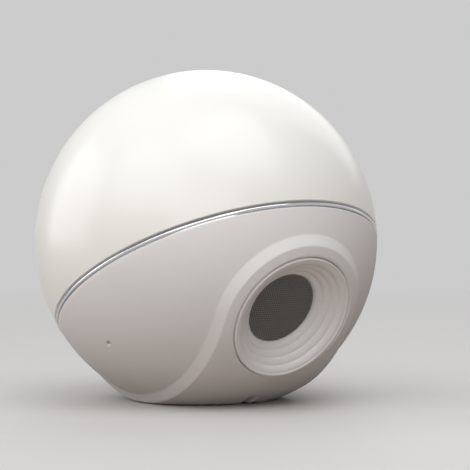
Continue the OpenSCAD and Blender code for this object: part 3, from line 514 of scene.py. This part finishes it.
class Finish:
    """A material in the making. It starts with tones that drift, and adds roughness that wanders
    and grain where marks and grain are given.

    marks is (size, smooth, rough) and grain is (size, depth). Other sockets of the shader are set by
    their names, with low lines for spaces.
    """

    def __init__(self, slot, rough, metallic=0.0, drift=0.04, drift_size=30 * MM, marks=None,
                 grain=None, turn=None, **sockets):
        self.material = bpy.data.materials.new(slot)
        self.material.use_nodes = True
        self.tree = self.material.node_tree
        self.inputs = self.tree.nodes["Principled BSDF"].inputs
        self.tone = np.array(TONES[slot])
        sockets.update(Metallic=metallic, Roughness=rough)
        for label, value in sockets.items():
            self.inputs[label.replace("_", " ")].default_value = value
        self.vector = self.tree.nodes.new("ShaderNodeTexCoord").outputs["Object"]
        if turn:
            self.vector = self.mapped(Rotation=turn)
        darker = self.tone * (1 - drift)
        self.link("Base Color", self.pattern(
            "tone", Size=drift_size, Tone=(*self.tone, 1), Other_tone=(*darker, 1)))
        if marks:
            size, smooth, dull = marks
            self.link("Roughness", self.pattern("marks", Size=size, Smooth=smooth, Rough=dull))
        if grain:
            size, depth = grain
            self.relief(self.pattern("grain", Size=size), depth)

    def link(self, label, socket):
        """Feeds a socket to one of the shader's inputs."""
        self.tree.links.new(socket, self.inputs[label])

    def mapped(self, **values):
        """The finish's own directions, turned or stretched."""
        return new_node(self.tree, "ShaderNodeMapping", {"Vector": self.vector, **values}).outputs[0]

    def pattern(self, key, output=0, **values):
        """An output of a shared group. A value's name has low lines where the socket's has spaces."""
        named = {label.replace("_", " "): value for label, value in values.items()}
        named.setdefault("Vector", self.vector)
        group = new_node(self.tree, "ShaderNodeGroup", named, node_tree=shared_group(key))
        return group.outputs[output]

    def relief(self, height, depth):
        """Raises the surface by a height times a depth, over any relief that it has already."""
        values = {"Height": height, "Distance": depth}
        under = self.inputs["Normal"].links
        if under:
            values["Normal"] = under[0].from_socket
        self.link("Normal", new_node(self.tree, "ShaderNodeBump", values).outputs[0])

    def tint(self, mask, colour, share=1.0):
        """Lays a share of a second colour over the base colour where a mask is 1."""
        under = self.inputs["Base Color"].links[0].from_socket
        mask = math_node(self.tree, "MULTIPLY", mask, share)
        self.link("Base Color", mix_node(self.tree, mask, under, (*colour, 1)))


def opal_gloss(slot):
    """Polished opal with the faintest orange peel, a soft glow under the skin, and fine dust."""
    finish = Finish(
        slot, 0.1, drift=0.015, drift_size=50 * MM, marks=(28 * MM, 0.07, 0.13),
        grain=(6 * MM, 0.01 * MM), IOR=1.5, Subsurface_Weight=0.5,
        Subsurface_Radius=(20 * MM, 20 * MM, 18 * MM), Subsurface_Scale=1.0, Coat_Weight=0.8,
        Coat_Roughness=0.03)
    finish.tint(finish.pattern("specks", Spacing=4.5 * MM, Share=0.035), (0.80, 0.79, 0.74))
    return finish


def satin_moulding(slot, rough=0.42, grain=0.35 * MM, **more):
    """Spark-eroded satin plastic with a fine even grain."""
    return Finish(
        slot, rough, marks=(22 * MM, rough - 0.05, rough + 0.07), grain=(grain, 0.012 * MM), IOR=1.48,
        **more)


def glossy_moulding(slot, rough=0.2):
    """Plastic from a polished mould."""
    return Finish(
        slot, rough, marks=(15 * MM, rough - 0.06, rough + 0.06), grain=(3 * MM, 0.006 * MM))


def soft_rubber(slot, rough=0.62, grain=0.5 * MM, depth=0.03 * MM):
    """Matt rubber with grain and a little pale bloom."""
    finish = Finish(
        slot, rough, marks=(8 * MM, rough - 0.08, rough + 0.12), grain=(grain, depth),
        Specular_IOR_Level=0.35)
    bloom = finish.pattern("specks", Spacing=1.6 * MM, Share=0.12)
    finish.tint(bloom, finish.tone * 0.6 + 0.14, 0.25)
    return finish


def cell_foam(slot):
    """Closed-cell foam: rubber with round pores."""
    finish = Finish(slot, 0.85, marks=(4 * MM, 0.75, 0.95))
    finish.relief(finish.pattern("specks", Spacing=0.5 * MM, Share=0.35), -0.08 * MM)
    return finish


def bare_metal(slot, rough=0.28, grain=0.6 * MM, depth=0.008 * MM):
    """Plated, cast or drawn metal with wiped patches."""
    return Finish(
        slot, rough, 1.0, marks=(6 * MM, rough - 0.08, rough + 0.1), grain=(grain, depth))


def brushed_metal(slot, rough):
    """Metal that lies in the dome's plane, with fine parallel brush lines."""
    finish = Finish(
        slot, rough, 1.0, marks=(8 * MM, rough - 0.08, rough + 0.1), turn=FLAT_ON_DOME)
    stretched = finish.mapped(Scale=(1.0, 0.04, 1.0))
    finish.relief(finish.pattern("grain", Vector=stretched, Size=0.12 * MM), 0.004 * MM)
    return finish


def painted_metal(slot, rough=0.5):
    """Powder coat: a lumpy skin over metal."""
    return Finish(
        slot, rough, marks=(6 * MM, rough - 0.06, rough + 0.1), grain=(0.25 * MM, 0.012 * MM))


def ground_ferrite(slot):
    """Dark ceramic, finely pitted, with painted shade darkening each pit."""
    finish = Finish(slot, 0.55, drift=0.12, drift_size=4 * MM, grain=(0.2 * MM, 0.01 * MM))
    pits_and_shade = finish.pattern("specks", Spacing=0.9 * MM, Share=0.16)
    # Each pit is tinted near-black: painted shade, laid over the real dents of the relief.
    finish.tint(pits_and_shade, (0.015, 0.015, 0.017))
    finish.relief(pits_and_shade, -0.04 * MM)
    return finish


def pressed_paper(slot):
    """Paper pulp pressed into shape, with short pale fibres."""
    finish = Finish(
        slot, 0.8, drift=0.2, drift_size=1.5 * MM, grain=(0.18 * MM, 0.03 * MM), Sheen_Weight=0.15)
    fibres = finish.pattern("specks", Spacing=0.4 * MM, Share=0.2)
    finish.tint(fibres, (0.11, 0.105, 0.10), 0.3)
    return finish


def woven_cloth(slot):
    """Resin-set cotton in a plain weave."""
    finish = Finish(slot, 0.75, drift=0.1, drift_size=3 * MM, turn=ACROSS_HORN)
    finish.relief(finish.pattern("weave", "Height", Pitch=0.45 * MM), 0.08 * MM)
    finish.tint(finish.pattern("weave", "Thread", Pitch=0.45 * MM), finish.tone * 0.55, 0.35)
    return finish


def wound_copper(slot):
    """Enamelled wire laid in close turns along the horn's axis."""
    finish = Finish(slot, 0.28, 1.0, marks=(2 * MM, 0.2, 0.36), turn=ALONG_HORN, Coat_Weight=0.5)
    finish.relief(finish.pattern("lines", Pitch=0.22 * MM), 0.12 * MM)
    return finish


def heat_film(slot):
    """Amber film with fine wrinkles."""
    return Finish(
        slot, 0.3, drift=0.2, drift_size=2 * MM, grain=(1.2 * MM, 0.03 * MM), Coat_Weight=0.3)


def circuit_board(slot, pitch=2.8 * MM, copper=0.55):
    """Solder mask over raised tracks, which show lighter."""
    finish = Finish(slot, 0.3, marks=(10 * MM, 0.24, 0.4), turn=FLAT_ON_DOME)
    tracks = finish.pattern("tracks", Pitch=pitch)
    finish.tint(tracks, finish.tone * 1.5 + np.array([0.04, 0.05, 0.02]), copper)
    finish.relief(tracks, 0.03 * MM)
    return finish


def lit_phosphor(slot):
    """Phosphor under clear resin, granular and unlit."""
    finish = Finish(slot, 0.35, drift=0.1, drift_size=1 * MM, Coat_Weight=0.8)
    grains = finish.pattern("specks", Spacing=0.3 * MM, Share=0.3)
    finish.tint(grains, (0.98, 0.9, 0.55), 0.4)
    return finish


FINISHES = {
    "dome_opal": (opal_gloss, {}),
    "housing_white": (satin_moulding, {"drift": 0.03, "drift_size": 40 * MM}),
    "horn_white": (satin_moulding, {"rough": 0.4, "drift": 0.03}),
    "trim_chrome": (bare_metal, {"rough": 0.12, "grain": 2 * MM, "depth": 0.002 * MM}),
    "grille_steel": (painted_metal, {"rough": 0.42}),
    "foot_rubber": (soft_rubber, {}),
    "inner_plastic": (satin_moulding, {"rough": 0.5, "grain": 0.6 * MM}),
    "chamber_plastic": (satin_moulding, {"rough": 0.5, "grain": 0.5 * MM}),
    "connector_cream": (satin_moulding, {"rough": 0.4, "grain": 0.3 * MM}),
    "jack_black": (satin_moulding, {"rough": 0.38, "grain": 0.3 * MM}),
    "button_white": (satin_moulding, {"rough": 0.4, "grain": 0.3 * MM}),
    "stem_red": (satin_moulding, {"rough": 0.35, "grain": 0.3 * MM}),
    "chip_black": (satin_moulding, {"rough": 0.5, "grain": 0.15 * MM}),
    "tray_white": (glossy_moulding, {}),
    "diffuser_milk": (glossy_moulding, {"rough": 0.35}),
    "screw_steel": (bare_metal, {"rough": 0.3, "grain": 0.5 * MM}),
    "ballast_steel": (bare_metal, {"rough": 0.5, "grain": 1.5 * MM, "depth": 0.06 * MM}),
    "plated_steel": (bare_metal, {"rough": 0.28}),
    "terminal_brass": (bare_metal, {"rough": 0.32}),
    "capsule_brass": (bare_metal, {"rough": 0.25}),
    "pin_nickel": (bare_metal, {"rough": 0.16, "depth": 0.003 * MM}),
    "shield_tin": (brushed_metal, {"rough": 0.34}),
    "spreader_aluminium": (brushed_metal, {"rough": 0.36}),
    "capacitor_can": (brushed_metal, {"rough": 0.32}),
    "basket_steel": (painted_metal, {}),
    "magnet_ferrite": (ground_ferrite, {}),
    "gasket_rubber": (soft_rubber, {"grain": 0.3 * MM}),
    "gasket_foam": (cell_foam, {}),
    "surround_rubber": (soft_rubber, {"rough": 0.5, "grain": 0.4 * MM, "depth": 0.01 * MM}),
    "pad_silicone": (soft_rubber, {"rough": 0.55}),
    "lead_black": (soft_rubber, {"rough": 0.4, "depth": 0.01 * MM}),
    "lead_red": (soft_rubber, {"rough": 0.4, "depth": 0.01 * MM}),
    "lead_grey": (soft_rubber, {"rough": 0.4, "depth": 0.01 * MM}),
    "cone_paper": (pressed_paper, {}),
    "cap_paper": (pressed_paper, {}),
    "spider_cloth": (woven_cloth, {}),
    "coil_copper": (wound_copper, {}),
    "former_film": (heat_film, {}),
    "board_green": (circuit_board, {}),
    "board_white": (circuit_board, {"pitch": 4 * MM, "copper": 0.3}),
    "antenna_board": (circuit_board, {"pitch": 3.5 * MM, "copper": 0.8}),
    "led_phosphor": (lit_phosphor, {}),
}


def finish_of(slot):
    """The material of a slot, made the first time that it is asked for."""
    found = bpy.data.materials.get(slot)
    if found:
        return found
    maker, values = FINISHES[slot]
    return maker(slot, **values).material


# ---- Shapes ----

def ball_height(radius):
    """Height of the ball's surface over its centre, at a radius from the axis."""
    return np.sqrt(BALL_R**2 - np.asarray(radius) ** 2)


def crown_height(across):
    """Height of the raised front's crowned face over the ball's centre: an arc of a wide circle."""
    middle = BALL_R + FACE_PROUD - FACE_CROWN_R
    return middle + np.sqrt(FACE_CROWN_R**2 - np.asarray(across) ** 2)


def face_profile(start, ease):
    """Section of the raised front from start outwards: the crowned face, the straight band and the
    ball, with both of the band's edges eased. It has a point at the height of the base."""
    top_x = FACE_HALF - BAND_W
    top = np.array([top_x, crown_height(top_x)])
    foot = np.array([FACE_HALF, ball_height(FACE_HALF)])
    side = (foot - top) / np.linalg.norm(foot - top)
    crown_x = np.linspace(start, top_x - ease, 6)[:-1]
    low, high = top + side * ease, foot - side * ease
    profile = np.concatenate([
        np.stack([crown_x, crown_height(crown_x)], axis=1),
        rounded([top_x - ease, crown_height(top_x - ease)], top, low),
        np.linspace(low, high, 5)[1:-1],
        rounded(high, foot, [FACE_HALF + ease, ball_height(FACE_HALF + ease)]),
    ])
    across = np.interp(-BASE_DROP, -profile[:, 1], profile[:, 0])
    spot = np.searchsorted(profile[:, 0], across)
    return np.insert(profile, spot, [across, BASE_DROP], axis=0)


def whole_section(profile, groove):
    """Section across the whole raised front: the profile on both sides of the face that lies inside
    the groove's radius."""
    notch = np.linspace(0, NOTCH_HALF, 3)
    wide = groove * np.sin(np.linspace(np.arcsin(NOTCH_HALF / groove), np.pi / 2, 24))[1:-1]
    inner = np.concatenate([notch, wide])
    half = np.concatenate([np.stack([inner, crown_height(inner)], axis=1), profile])
    return np.concatenate([half[:0:-1] * [-1, 1], half])


def dip(height, level):
    """Angle from a direction at which a point at a height from the centre is level along it, or 0."""
    return np.arccos(np.minimum(level / height, 1.0))


def strip_grids(section, groove, seam_level):
    """The section turned about the ball's X axis, in the horn's frame: in front from the horn's
    groove to the base, with a mask that leaves the cable notch open, and at the back from the base
    to the seam."""
    x, height = section.T
    base_dip = dip(height, BASE_DROP)
    notch_height = crown_height(np.minimum(np.abs(x), NOTCH_HALF))
    notch_step = dip(notch_height, CENTRE[2] - NOTCH_TOP) - dip(notch_height, BASE_DROP)
    from_horn = np.arcsin(np.sqrt(np.maximum(groove**2 - x**2, 0)) / height)
    from_horn[np.abs(x) >= groove] = 0.0
    front_low = DOWN - base_dip
    front_high = front_low - notch_step

    def swept(angle):
        across = np.broadcast_to(x, angle.shape)
        return np.stack([across, -height * np.sin(angle), height * np.cos(angle)], axis=-1)

    upper = between(from_horn, front_high, STRIP_STEPS)
    lower = between(front_high, front_low, NOTCH_STEPS)
    front = swept(np.concatenate([upper, lower[1:]]))
    back = swept(between(DOWN + base_dip, AWAY + dip(height, seam_level), BACK_STEPS))
    kept = np.ones((len(front) - 1, len(x) - 1), bool)
    kept[STRIP_STEPS:, np.abs((x[1:] + x[:-1]) / 2) < NOTCH_HALF] = False
    return front, kept, back


def cheek_grid(foot, seam_z):
    """Meridians over the ball, from a path up to the seam, all in the dome's frame."""
    around = np.unwrap(np.arctan2(foot[:, 1], foot[:, 0]))
    start = np.arcsin(np.clip(foot[:, 2] / BALL_R, -1, 1))
    rise = between(start, np.arcsin(seam_z / BALL_R), CHEEK_STEPS)
    return BALL_R * np.stack([
        np.cos(rise) * np.cos(around), np.cos(rise) * np.sin(around), np.sin(rise)], axis=-1)


def housing_skin(sizes):
    """Outer skin of the lower housing, from the seam to the table side, as welded grids.

    The raised front's section is turned about the horn's axis over the upper half, and about the
    ball's X axis from the horn down under the base and up the back. From the section's outer edge,
    meridians of the dome's axis run over the ball to the seam.
    """
    groove = GROOVE_R + sizes.groove_round
    seam_z = HOUSING_RIM - sizes.rim_round
    profile = face_profile(groove, sizes.band_round)
    arch = turned(profile, 0, np.pi, ARCH_STEPS)
    front, kept, back = strip_grids(whole_section(profile, groove), groove, -seam_z)
    path = np.concatenate([
        back[::-1, 0], front[::-1, 0], arch[::-1, -1], front[:, -1], back[:, -1]])
    cheeks = cheek_grid(local_to(place(path, HORN), DOME), seam_z)
    return welded(*joined([
        (place(arch, HORN), None), (place(front, HORN), kept), (place(back, HORN), None),
        (place(cheeks, DOME), None)]))


def inner_skin(points, sizes):
    """The outer skin's points moved in by the wall, kept below the seam and outside the groove."""
    groove = GROOVE_R + sizes.groove_round
    moved = local_to(CENTRE + (points - CENTRE) * (1 - sizes.housing_wall / BALL_R), DOME)
    moved[:, 2] = np.minimum(moved[:, 2], HOUSING_RIM)
    moved = local_to(place(moved, DOME), HORN)
    from_axis = np.linalg.norm(moved[:, :2], axis=1)
    near = (moved[:, 2] > 0) & (from_axis < groove)
    moved[near, :2] *= (groove / from_axis[near])[:, None]
    return place(moved, HORN)


def rows_about(points, axes, ways):
    """Rows of new points. Each way gives a row's radii and heights about an axis from the points'
    own."""
    own = local_to(points, axes)
    radius = np.linalg.norm(own[:, :2], axis=1)
    rows = []
    for way in ways:
        new_radius, height = way(radius, own[:, 2])
        local = np.column_stack([own[:, :2] * (new_radius / radius)[:, None], height])
        rows.append(place(local, axes))
    return rows


def foot_rows(points):
    """Rows of the housing's foot: flat from the skin's edge to the base plate, and up the plate's
    bore. The notch's sides and ceiling run straight back to the same bore."""
    x, y, z = points.T
    far = np.abs(x)
    bore = PLATE_R + PLATE_GAP
    outside = np.maximum(far - NOTCH_HALF, 0) / (far.max() - NOTCH_HALF)
    across = np.where(
        y < 0,
        np.minimum(far, NOTCH_HALF) + outside * (bore - NOTCH_HALF),
        far / far.max() * bore)
    deep = np.sqrt(np.maximum(bore**2 - across**2, 0))
    flat = np.column_stack([np.sign(x) * across, np.sign(y) * deep, z])
    lifted = flat.copy()
    lifted[:, 2] = NOTCH_TOP
    return [flat, lifted]


def housing_shell(sizes):
    """The skin with an inner skin a wall further in, and rims along the seam, the groove and the
    foot."""
    points, quads = housing_skin(sizes)
    outer_count = len(points)
    edge, lip, wall = sizes.rim_round, sizes.groove_round, sizes.housing_wall

    over_horn = local_to(points, HORN)
    from_horn = np.linalg.norm(over_horn[:, :2], axis=1)
    at_seam = np.abs(local_to(points, DOME)[:, 2] - HOUSING_RIM + edge) < WELD
    at_groove = (np.abs(from_horn - GROOVE_R - lip) < WELD) & (over_horn[:, 2] > 0)
    edges = open_edges(quads)
    in_seam, in_groove = at_seam[edges].all(1), at_groove[edges].all(1)
    seam, groove, foot = edges[in_seam], edges[in_groove], edges[~(in_seam | in_groove)]

    quarter = np.linspace(0, np.pi / 2, 5)[1:]
    seam_ways = [
        lambda r, z, a=a: (r - edge * (1 - np.cos(a)), z + edge * np.sin(a)) for a in quarter]
    seam_ways.append(lambda r, z: (r - wall, z + edge))
    groove_ways = [
        lambda r, z, a=a: (r - lip * np.sin(a), z - lip * (1 - np.cos(a))) for a in quarter]
    groove_ways.append(lambda r, z: (r - lip, np.full_like(z, FLANGE_FRONT)))
    rims = [
        (seam, rows_about(points[np.unique(seam)], DOME, seam_ways)),
        (groove, rows_about(points[np.unique(groove)], HORN, groove_ways)),
        (foot, foot_rows(points[np.unique(foot)])),
    ]
    points = np.concatenate([points, inner_skin(points, sizes)])
    quads = np.concatenate([quads, quads[:, ::-1] + outer_count])
    for loop, rows in rims:
        points, quads = rim(points, quads, loop, rows, outer_count)
    return points, quads


def dome_profile(sizes):
    """Section of the dome from its pole down the outside, round the rim, and up the inside."""
    edge = sizes.rim_round
    low = np.arcsin((DOME_RIM + edge) / BALL_R)
    inner_r = BALL_R - sizes.dome_wall
    inner_low = np.arcsin(DOME_RIM / inner_r)
    outside = arc((0, 0), BALL_R, np.pi / 2, low, 90)
    rim_r = outside[-1, 0] - edge
    corner = arc((rim_r, DOME_RIM + edge), edge, 0, -np.pi / 2, 4)
    inside = arc((0, 0), inner_r, inner_low, np.pi / 2, 60)
    return np.concatenate([outside[:-1], corner, inside])[::-1]


def trim_profile():
    """Section of the trim ring: a flat band between the shells, a neck, and the round bead."""
    inner, neck = SEAM_R - TRIM_W, SEAM_R - NECK_IN
    bead_mid = SEAM_R + BEAD_PROUD - BEAD_R
    bead = arc((bead_mid, -SEAM_DROP), BEAD_R, -np.pi / 2, np.pi / 2, 20)
    band_top = DOME_RIM - GASKET_H
    return np.concatenate([
        [[inner, HOUSING_RIM], [neck, HOUSING_RIM], [neck, -SEAM_DROP - BEAD_R]],
        bead,
        [[neck, -SEAM_DROP + BEAD_R], [neck, band_top], [inner, band_top], [inner, HOUSING_RIM]],
    ])


def horn_profile(sizes):
    """Section of the horn. Each step of its flare is a quarter round that rises steeply and levels
    out towards the rim, mixed by step_swell with a plain slope. A half round makes the rim's bead."""
    bead_r = sizes.bead_width / 2
    first, last = GRILLE_R, HORN_R - sizes.bead_width
    rise = HORN_RIM - HORN_BEAD_H - HORN_LIP
    steps = np.arange(sizes.horn_steps)[:, None]
    turn = np.linspace(0, np.pi / 2, 13)
    across, up = 1 - np.cos(turn), np.sin(turn)
    up = across + (up - across) * sizes.step_swell
    flare = np.stack([
        first + (last - first) * (steps + across) / sizes.horn_steps,
        HORN_LIP + rise * (steps + up) / sizes.horn_steps,
    ], axis=-1).reshape(-1, 2)
    bead = arc((HORN_R - bead_r, 0), bead_r, np.pi, 0, 16)
    bead[:, 1] = flare[-1, 1] + bead[:, 1] * (HORN_RIM - flare[-1, 1]) / bead_r
    return np.concatenate([
        [[GRILLE_SEAT_R, GRILLE_BACK], [GRILLE_SEAT_R, GRILLE_FRONT], [GRILLE_R, GRILLE_FRONT]],
        flare, bead[1:],
        [[HORN_R, FLANGE_FRONT], [FLANGE_R, FLANGE_FRONT], [FLANGE_R, GRILLE_BACK],
         [GRILLE_SEAT_R, GRILLE_BACK]],
    ])[::-1]


def drill(piece, middle, axis, radius, depth):
    """Drills a round hole through a piece, with a closed cutter that is removed afterwards."""
    profile = [[0, -depth], [radius, -depth], [radius, depth], [0, depth]]
    points, quads = revolved(profile, axes_of(axis), HOLE_TURNS)
    mesh = make_mesh("hole_cutter", points - CENTRE + middle, quads)
    cutter = bpy.data.objects.new("hole_cutter", mesh)
    bpy.context.scene.collection.objects.link(cutter)
    modifier = piece.modifiers.new("drill", "BOOLEAN")
    modifier.operation, modifier.object, modifier.solver = "DIFFERENCE", cutter, "MANIFOLD"
    seen = piece.evaluated_get(bpy.context.evaluated_depsgraph_get())
    drilled = bpy.data.meshes.new_from_object(seen)
    piece.modifiers.remove(modifier)
    whole, piece.data = piece.data, drilled
    bpy.data.meshes.remove(whole)
    bpy.data.objects.remove(cutter)


# ---- Stage ----

def add_camera(scene):
    """A long lens to the left of the horn's axis and just over the table, with the ball a little to
    the left of the picture's middle."""
    azimuth, elevation, distance = np.radians(-34.67), np.radians(2.0), 0.8
    data = bpy.data.cameras.new("camera")
    data.sensor_width, data.lens = 36.0, 181.7
    data.shift_x, data.shift_y = 0.0615, 0.0126
    camera = bpy.data.objects.new("camera", data)
    camera.location = CENTRE + distance * direction(azimuth, elevation)
    camera.rotation_euler = (np.pi / 2 - elevation, 0.0, azimuth)
    scene.collection.objects.link(camera)
    scene.camera = camera


def seen_directly(tree):
    """1 where the camera, a reflection or a transmitted ray looks, and 0 for light on its way."""
    path = tree.nodes.new("ShaderNodeLightPath").outputs
    mirrored = math_node(tree, "MAXIMUM", path["Is Glossy Ray"], path["Is Transmission Ray"])
    return math_node(tree, "MAXIMUM", path["Is Camera Ray"], mirrored)


def floor_paper(stage):
    """Lit paper that takes the shadow near the ball and passes into an even tone further out."""
    material = bpy.data.materials.new("floor_paper")
    material.use_nodes = True
    tree = material.node_tree
    shader = tree.nodes["Principled BSDF"]
    shader.inputs["Roughness"].default_value = 0.6
    seen = seen_directly(tree)
    tone = mix_node(tree, seen, (*stage.floor_bounce, 1), (*stage.floor_tone, 1))
    tree.links.new(tone, shader.inputs["Base Color"])
    spot = tree.nodes.new("ShaderNodeTexCoord").outputs["Object"]
    distance = new_node(tree, "ShaderNodeVectorMath", {0: spot}, operation="LENGTH").outputs["Value"]
    share = math_node(tree, "MULTIPLY", seen, remap(tree, distance, FADE_START, FADE_END))
    glow = new_node(tree, "ShaderNodeEmission", {"Color": (*stage.backdrop_tone, 1)})
    mixed = new_node(
        tree, "ShaderNodeMixShader", {0: share, 1: shader.outputs[0], 2: glow.outputs[0]})
    tree.links.new(mixed.outputs[0], tree.nodes["Material Output"].inputs["Surface"])
    return material


def add_floor(stage):
    """A round floor whose far edge sweeps up in a quarter circle into a backdrop."""
    sweep = arc((FLAT_R, SWEEP_R), SWEEP_R, -np.pi / 2, 0, 24)
    profile = np.concatenate([[[0.0, 0.0]], sweep, [[FLAT_R + SWEEP_R, SWEEP_R + BACKDROP_H]]])
    points, quads = revolved(profile, np.eye(3), FLOOR_TURNS)
    floor = bpy.data.objects.new("floor", make_mesh("floor", points - CENTRE, quads))
    bpy.context.scene.collection.objects.link(floor)
    floor.data.materials.append(floor_paper(stage))


def add_lamp(name, azimuth, elevation, size, energy):
    """A square soft lamp that looks at the ball."""
    azimuth, elevation = np.radians(azimuth), np.radians(elevation)
    data = bpy.data.lights.new(name, "AREA")
    data.size, data.energy = size, energy
    lamp = bpy.data.objects.new(name, data)
    lamp.location = CENTRE + LAMP_DISTANCE * direction(azimuth, elevation)
    lamp.rotation_euler = (np.pi / 2 - elevation, 0.0, azimuth)
    bpy.context.scene.collection.objects.link(lamp)


def add_world(scene, stage):
    """Even light from all round, a touch cooler than the lamps."""
    world = bpy.data.worlds.new("studio")
    world.use_nodes = True
    background = world.node_tree.nodes["Background"].inputs
    background["Strength"].default_value = stage.world_level
    background["Color"].default_value = (0.96, 0.98, 1.0, 1)
    scene.world = world


# ---- Operators, one for each piece or group ----

class BuildHousing(bpy.types.Operator):
    """Build the satin lower housing with its raised front, cable notch and microphone hole"""

    bl_idname = "speaker.build_housing"
    bl_label = "Lower housing"

    def execute(self, context):
        sizes = context.scene.speaker_sizes
        mesh = make_mesh("housing_moulding", *housing_shell(sizes))
        piece = add_piece("housing_moulding", mesh, "housing", ["lower_housing"], "housing_white", 35)
        axis = direction(-MIC_TURN, -MIC_DIP)
        drill(piece, CENTRE + BALL_R * axis, axis, MIC_HOLE_R, 2 * sizes.housing_wall)
        return {"FINISHED"}


class BuildDome(bpy.types.Operator):
    """Build the glossy opal dome"""

    bl_idname = "speaker.build_dome"
    bl_label = "Dome"

    def execute(self, context):
        profile = dome_profile(context.scene.speaker_sizes)
        mesh = make_mesh("opal_dome", *revolved(profile, DOME, DOME_TURNS))
        add_piece("opal_dome", mesh, "housing", ["dome_shell"], "dome_opal", 50)
        return {"FINISHED"}


class BuildTrimRing(bpy.types.Operator):
    """Build the bright trim ring in the seam"""

    bl_idname = "speaker.build_trim_ring"
    bl_label = "Trim ring"

    def execute(self, context):
        mesh = make_mesh("seam_ring", *revolved(trim_profile(), DOME, TRIM_TURNS))
        add_piece("seam_ring", mesh, "housing", ["trim_ring"], "trim_chrome", 50)
        return {"FINISHED"}


class BuildHorn(bpy.types.Operator):
    """Build the stepped horn with its rim bead and flange"""

    bl_idname = "speaker.build_horn"
    bl_label = "Horn"

    def execute(self, context):
        profile = horn_profile(context.scene.speaker_sizes)
        mesh = make_mesh("stepped_horn", *revolved(profile, HORN, HORN_TURNS))
        add_piece("stepped_horn", mesh, "housing", ["horn_bezel"], "horn_white", 50)
        return {"FINISHED"}


class FinishFrameParts(bpy.types.Operator):
    """Give every CAD node that still shows its material slot's finish"""

    bl_idname = "speaker.finish_frame_parts"
    bl_label = "Frame parts"

    def execute(self, context):
        for part in frame["record"]["subparts"]:
            node = frame["nodes"][part["node"]]
            if node.hide_render:
                continue
            node.data.materials.clear()
            node.data.materials.append(finish_of(part["material_slot"]))
        return {"FINISHED"}


class SetStage(bpy.types.Operator):
    """Set the camera, the floor with its backdrop, the lamps and the world"""

    bl_idname = "speaker.set_stage"
    bl_label = "Stage"

    def execute(self, context):
        stage = context.scene.speaker_stage
        add_camera(context.scene)
        add_floor(stage)
        for name, (azimuth, elevation, size) in LAMPS.items():
            add_lamp(name + "_lamp", azimuth, elevation, size, getattr(stage, name + "_power"))
        add_world(context.scene, stage)
        context.scene.view_settings.view_transform = "Standard"
        return {"FINISHED"}


class SpeakerPanel(bpy.types.Panel):
    """Lists the speaker's build steps and what may be changed"""

    bl_idname = "VIEW3D_PT_speaker"
    bl_label = "Speaker"
    bl_space_type = "VIEW_3D"
    bl_region_type = "UI"
    bl_category = "Speaker"

    def draw(self, context):
        for step in STEPS:
            self.layout.operator(step.bl_idname)
        for group in (context.scene.speaker_sizes, context.scene.speaker_stage):
            box = self.layout.box()
            for name in group.__annotations__:
                box.prop(group, name)


STEPS = (SetStage, BuildHousing, BuildDome, BuildTrimRing, BuildHorn, FinishFrameParts)
CLASSES = (SpeakerSizes, SpeakerStage, *STEPS, SpeakerPanel)


def register():
    for item in CLASSES:
        bpy.utils.register_class(item)
    bpy.types.Scene.speaker_sizes = bpy.props.PointerProperty(type=SpeakerSizes)
    bpy.types.Scene.speaker_stage = bpy.props.PointerProperty(type=SpeakerStage)


def unregister():
    del bpy.types.Scene.speaker_stage
    del bpy.types.Scene.speaker_sizes
    for item in reversed(CLASSES):
        bpy.utils.unregister_class(item)


def main():
    """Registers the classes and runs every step."""
    register()
    bpy.ops.speaker.set_stage()
    bpy.ops.speaker.build_housing()
    bpy.ops.speaker.build_dome()
    bpy.ops.speaker.build_trim_ring()
    bpy.ops.speaker.build_horn()
    bpy.ops.speaker.finish_frame_parts()


if __name__ == "__main__":
    main()
